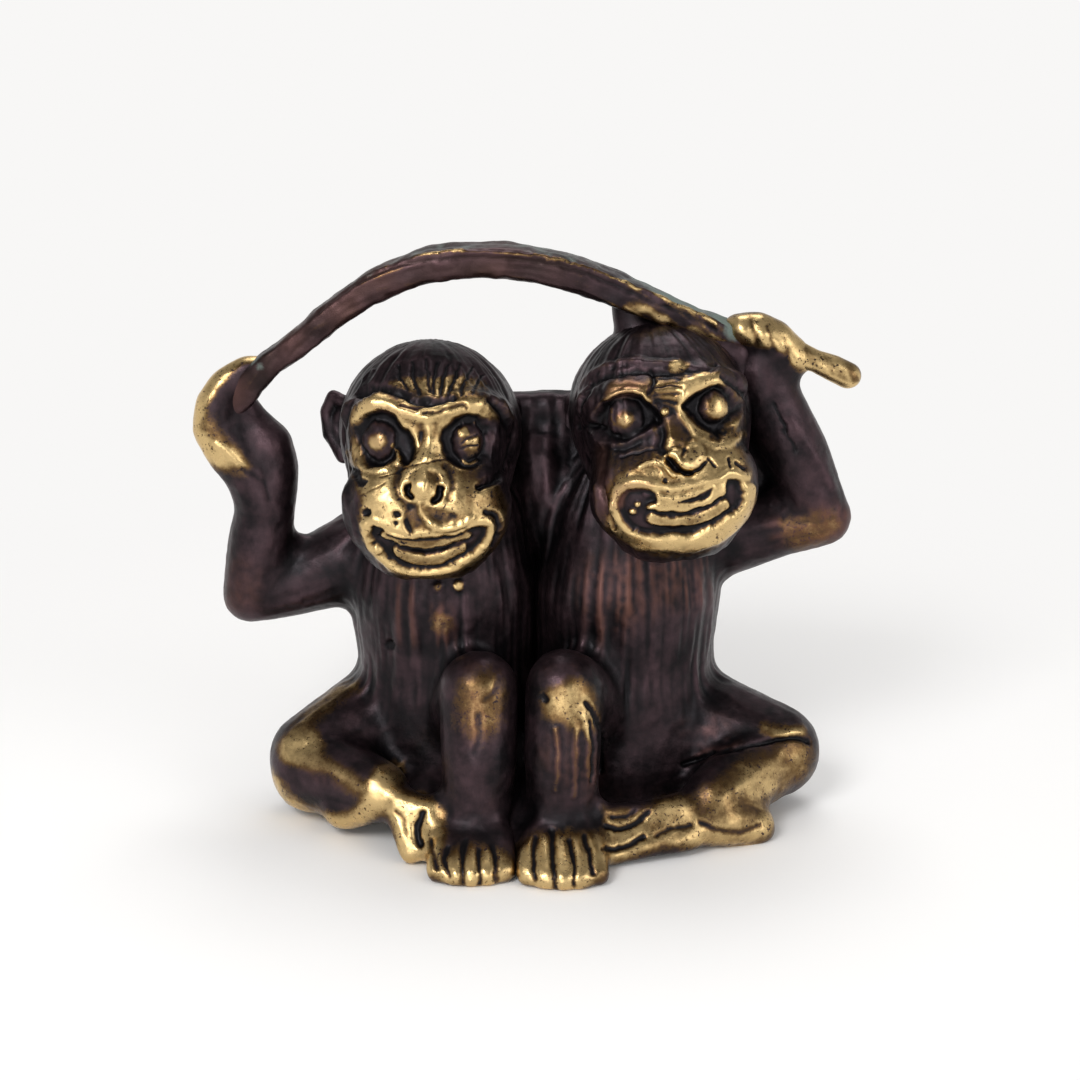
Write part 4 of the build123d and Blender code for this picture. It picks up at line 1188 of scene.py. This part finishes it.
def cast_brass(name, finish, green=False):
    """Cast brass under an oxide patina: dull brown black in hollows, bare yellow metal where rubbed."""
    material = bpy.data.materials.new(name)
    node = emptied(material)
    place = node("ShaderNodeTexCoord", output="Object")
    noise = {
        label: node("ShaderNodeTexNoise", {
            "Vector": place, "Scale": 1 / (size * MM), "Detail": detail, "Roughness": rough,
        })
        for label, (size, detail, rough) in PATTERNS.items()
        if green or label != "bloom_and_sky_reflection"
    }
    polish, hollow, copper = (
        node("ShaderNodeAttribute", output="Fac", attribute_name=label)
        for label in ("polish", "hollow", "copper")
    )

    def varied(value, label, share):
        """A value moved up and down by a share of one pattern."""
        centred = node("ShaderNodeMath", {0: noise[label], 1: 0.5}, operation="SUBTRACT")
        return node("ShaderNodeMath", {0: centred, 1: share, 2: value}, **TIMES_PLUS)

    # the film wears off unevenly, less in hollows, more on edges and not in small pits
    worn = varied(varied(polish, "wear", 0.55), "grains", 0.26)
    deep = node("ShaderNodeMath", {0: hollow, 1: 0.5}, operation="SUBTRACT", use_clamp=True)
    edge = node("ShaderNodeMath", {0: 0.5, 1: hollow}, operation="SUBTRACT", use_clamp=True)
    edge_wear = node("ShaderNodeMath", {0: polish, 1: 1.2, 2: 0.2}, **TIMES_PLUS)
    specks = node("ShaderNodeMapRange", {0: noise["specks"], 1: 0.57, 2: 0.66}, **SMOOTH)
    speckled = node("ShaderNodeMapRange", {0: noise["speckled"], 1: 0.45, 2: 0.6}, **SMOOTH)
    pits = node("ShaderNodeMath", {0: specks, 1: speckled}, **TIMES)
    for factor, share in ((deep, -1.3), (edge, edge_wear), (pits, -0.8)):
        worn = node("ShaderNodeMath", {0: factor, 1: share, 2: worn}, **TIMES_PLUS)
    # dark and brown skin in soft clouds, browner on open surfaces
    cloud = node("ShaderNodeMapRange", {0: noise["mottling"], 1: 0.26, 2: 0.8}, **SMOOTH)
    open_surface = node("ShaderNodeMapRange", {0: hollow, 1: 0.75, 2: 0.3}, **SMOOTH)
    brown = node("ShaderNodeMath", {0: cloud, 1: open_surface}, **TIMES)
    dark, light = rgba(finish.patina_dark), rgba(finish.patina_brown)
    skin = node("ShaderNodeMix", {0: brown, 6: dark, 7: light}, **COLOURS)
    # the metal is yellow where it is rubbed most
    tint = node("ShaderNodeMapRange", {0: varied(worn, "tints", 0.6), 1: 0.4, 2: 1.05}, **SMOOTH)
    dark, light = rgba(finish.brass_deep), rgba(finish.brass)
    metal = node("ShaderNodeMix", {0: tint, 6: dark, 7: light}, **COLOURS)
    # the warm film dyes both
    skin_film, metal_film = (
        node("ShaderNodeMath", {0: copper, 1: share}, **TIMES) for share in (0.75, 0.6)
    )
    warm = rgba(finish.copper)
    skin = node("ShaderNodeMix", {0: skin_film, 6: skin, 7: warm}, **COLOURS)
    metal = node("ShaderNodeMix", {0: metal_film, 6: metal, 7: warm}, **COLOURS)
    bare = node("ShaderNodeMapRange", {0: worn, 1: 0.12, 2: 0.6}, **SMOOTH)
    colour = node("ShaderNodeMix", {0: bare, 6: skin, 7: metal}, **COLOURS)
    rough = node("ShaderNodeMapRange", {0: bare, 3: 0.4, 4: 0.31}, **SMOOTH)
    rough = varied(rough, "sheen", 0.35)
    metallic = node("ShaderNodeMapRange", {0: bare, 3: 0.8, 4: 1.0}, **SMOOTH)
    if green:
        # verdigris by the hands, and a painted reflection of the pale sky on the leaf's upward faces, lie on
        # the metal as a matt, pale grey green coat
        verdigris_and_sky_reflection = node("ShaderNodeAttribute", output="Fac", attribute_name="verdigris_and_sky_reflection")
        bloom_and_sky_reflection = varied(verdigris_and_sky_reflection, "bloom_and_sky_reflection", 0.7)
        bloom_and_sky_reflection = node("ShaderNodeMapRange", {0: bloom_and_sky_reflection, 1: 0.4, 2: 0.75}, **SMOOTH)
        green_bloom_and_sky_reflection = rgba(finish.verdigris_and_sky_reflection)
        colour = node("ShaderNodeMix", {0: bloom_and_sky_reflection, 6: colour, 7: green_bloom_and_sky_reflection}, **COLOURS)
        matt = node("ShaderNodeMath", {0: bloom_and_sky_reflection, 1: 0.75}, **TIMES)
        rough = node("ShaderNodeMath", {0: rough, 1: matt}, operation="MAXIMUM")
        clear = node("ShaderNodeMath", {0: 1.0, 1: bloom_and_sky_reflection}, operation="SUBTRACT")
        metallic = node("ShaderNodeMath", {0: metallic, 1: clear}, **TIMES)
    bump = node("ShaderNodeBump", {"Height": noise["grit"], "Strength": 0.35, "Distance": 0.06 * MM})
    surface = node("ShaderNodeBsdfPrincipled", {
        "Base Color": colour, "Roughness": rough, "Metallic": metallic, "Normal": bump,
    })
    node("ShaderNodeOutputMaterial", {"Surface": surface})
    return material


def direct_rays(node):
    """1 for the rays by which the floor is seen, straight on or in a reflection, 0 for those that light."""
    seen = 0.0
    for kind in ("Is Camera Ray", "Is Glossy Ray", "Is Transmission Ray"):
        ray = node("ShaderNodeLightPath", output=kind)
        seen = node("ShaderNodeMath", {0: seen, 1: ray}, operation="MAXIMUM")
    return seen


def matt_paper(finish):
    """Matt paper: pale and without a highlight, it keeps the soft shadow and goes over to plain white."""
    paper = bpy.data.materials.new("matt_paper")
    node = emptied(paper)
    place = node("ShaderNodeTexCoord", output="Object")
    away = node("ShaderNodeVectorMath", {0: place}, output="Value", operation="LENGTH")
    far = node("ShaderNodeMapRange", {0: away, 1: 0.04, 2: 0.13}, **SMOOTH)
    pale = node("ShaderNodeMath", {0: far, 1: direct_rays(node)}, **TIMES)
    lit = node("ShaderNodeBsdfPrincipled", {"Base Color": rgba(finish.floor), "Roughness": 0.9})
    flat = node("ShaderNodeEmission", {"Color": rgba(finish.floor), "Strength": 1.0})
    both = node("ShaderNodeMixShader", {0: pale, 1: lit, 2: flat})
    node("ShaderNodeOutputMaterial", {"Surface": both})
    return paper


def studio(finish):
    """A pale world: seen, it is white below and greyer above, and it lights the object evenly."""
    world = bpy.data.worlds.new("studio")
    node = emptied(world)
    way = node("ShaderNodeTexCoord", output="Generated")
    height = node("ShaderNodeSeparateXYZ", {0: way}, output=2)
    seen = node("ShaderNodeMapRange", {0: height, 2: 0.7, 3: 1.0, 4: 0.3}, **SMOOTH)
    strength = node("ShaderNodeMix", {0: direct_rays(node), 2: 0.5, 3: seen}, data_type="FLOAT")
    sky = node("ShaderNodeBackground", {"Color": rgba(finish.floor), "Strength": strength})
    node("ShaderNodeOutputWorld", {"Surface": sky})
    return world


def finished(piece, material, nodes):
    """Brings a sculpted piece to metres, smooths its shading, dresses it and ties it to the frame."""
    piece.data.transform(Matrix.Scale(MM, 4))
    piece.data.materials.clear()
    piece.data.materials.append(material)
    for face in piece.data.polygons:
        face.use_smooth = True
    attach(piece, "root")
    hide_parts(*nodes)


class FIGURINE_OT_leaf(bpy.types.Operator):
    """Sculpts the arched leaf, its stalk and the metal under it"""

    bl_idname = "figurine.leaf"
    bl_label = "Arched leaf"

    def execute(self, context):
        finish = context.scene.figurine_finish
        leaf_metal = cast_brass("cast_brass_leaf_patina_and_sky_reflection", finish, green=True)
        finished(build_leaf(), leaf_metal, ["leaf", "leaf_stalk"])
        prop_metal = cast_brass("cast_brass_rough_patina", finish)
        finished(build_prop(), prop_metal, ["leaf_rest"])
        return {"FINISHED"}


class FIGURINE_OT_heads(bpy.types.Operator):
    """Sculpts both monkeys' heads with their faces"""

    bl_idname = "figurine.heads"
    bl_label = "Heads"

    def execute(self, context):
        sizes, finish = context.scene.figurine_sizes, context.scene.figurine_finish
        material = cast_brass("cast_brass_rubbed_face", finish)
        for side, face, warm in (
            ("left", LEFT_FACE, LEFT_FACE_WARM),
            ("right", RIGHT_FACE, RIGHT_FACE_WARM),
        ):
            head = build_head(side, face, warm, sizes)
            finished(head, material, [f"{side}_head"])
        return {"FINISHED"}


class FIGURINE_OT_bodies(bpy.types.Operator):
    """Sculpts both monkeys' bodies with their arms, legs, hands and feet"""

    bl_idname = "figurine.bodies"
    bl_label = "Bodies"

    def execute(self, context):
        sizes, finish = context.scene.figurine_sizes, context.scene.figurine_finish
        material = cast_brass("cast_brass_dark_patina", finish)
        for side, masses, markings, rubbed, warm in (
            ("left", LEFT_MASSES, LEFT_MARKINGS, LEFT_RUBBED, LEFT_WARM),
            ("right", RIGHT_MASSES, RIGHT_MARKINGS, RIGHT_RUBBED, RIGHT_WARM),
        ):
            body = build_body(side, masses, markings, rubbed, warm, sizes)
            finished(body, material, [f"{side}_{part}" for part in BODY_PARTS])
        return {"FINISHED"}


class FIGURINE_OT_stage(bpy.types.Operator):
    """Sets up the pale floor, the soft lamps and the camera"""

    bl_idname = "figurine.stage"
    bl_label = "Stage"

    def execute(self, context):
        scene, finish = context.scene, context.scene.figurine_finish
        shape = bmesh.new()
        radius = scene.figurine_sizes.floor_radius
        bmesh.ops.create_circle(shape, cap_ends=True, segments=96, radius=radius)
        floor = new_piece("floor", shape)
        floor.data.materials.append(matt_paper(finish))
        scene.world = studio(finish)

        # lamps: place and size in metres, power in watts
        for name, place, size, power in (
            ("key_lamp", (-0.16, -0.30, 0.30), 0.16, 0.9),
            ("fill_lamp", (0.30, -0.22, 0.16), 0.22, 0.35),
            ("low_lamp", (-0.06, -0.34, 0.06), 0.2, 0.25),
            ("top_lamp", (0.02, 0.18, 0.40), 0.22, 0.6),
        ):
            data = bpy.data.lights.new(name, "AREA")
            data.energy, data.size = power, size
            lamp = bpy.data.objects.new(name, data)
            scene.collection.objects.link(lamp)
            lamp.location = place
            way = VIEW_TARGET * MM - Vector(place)
            lamp.rotation_euler = way.to_track_quat("-Z", "Y").to_euler()

        data = bpy.data.cameras.new("camera")
        data.sensor_width = SENSOR_WIDTH
        data.lens = SENSOR_WIDTH * FOCAL_MARKS / SHEET_MARKS
        data.clip_start, data.clip_end = 0.01, 10
        camera = bpy.data.objects.new("camera", data)
        scene.collection.objects.link(camera)
        ahead = Vector(AHEAD)
        camera.location = (VIEW_TARGET - VIEW_DISTANCE * ahead) * MM
        camera.rotation_euler = ahead.to_track_quat("-Z", "Y").to_euler()
        scene.camera = camera
        scene.view_settings.view_transform = "Standard"
        return {"FINISHED"}


OPERATORS = (FIGURINE_OT_leaf, FIGURINE_OT_heads, FIGURINE_OT_bodies, FIGURINE_OT_stage)


class FIGURINE_PT_panel(bpy.types.Panel):
    """Lists the sizes, the finish and the steps that make the figurine"""

    bl_label = "Two brass monkeys"
    bl_idname = "FIGURINE_PT_panel"
    bl_space_type = "VIEW_3D"
    bl_region_type = "UI"
    bl_category = "Figurine"

    def draw(self, context):
        for group in (context.scene.figurine_sizes, context.scene.figurine_finish):
            for name in group.__annotations__:
                self.layout.prop(group, name)
        for operator in OPERATORS:
            self.layout.operator(operator.bl_idname)


CLASSES = (FigurineSizes, FigurineFinish, *OPERATORS, FIGURINE_PT_panel)


def register():
    for made in CLASSES:
        bpy.utils.register_class(made)
    bpy.types.Scene.figurine_sizes = PointerProperty(type=FigurineSizes)
    bpy.types.Scene.figurine_finish = PointerProperty(type=FigurineFinish)


def unregister():
    del bpy.types.Scene.figurine_finish
    del bpy.types.Scene.figurine_sizes
    for made in reversed(CLASSES):
        bpy.utils.unregister_class(made)


def main():
    register()
    bpy.ops.figurine.leaf()
    bpy.ops.figurine.heads()
    bpy.ops.figurine.bodies()
    bpy.ops.figurine.stage()


if __name__ == "__main__":
    main()
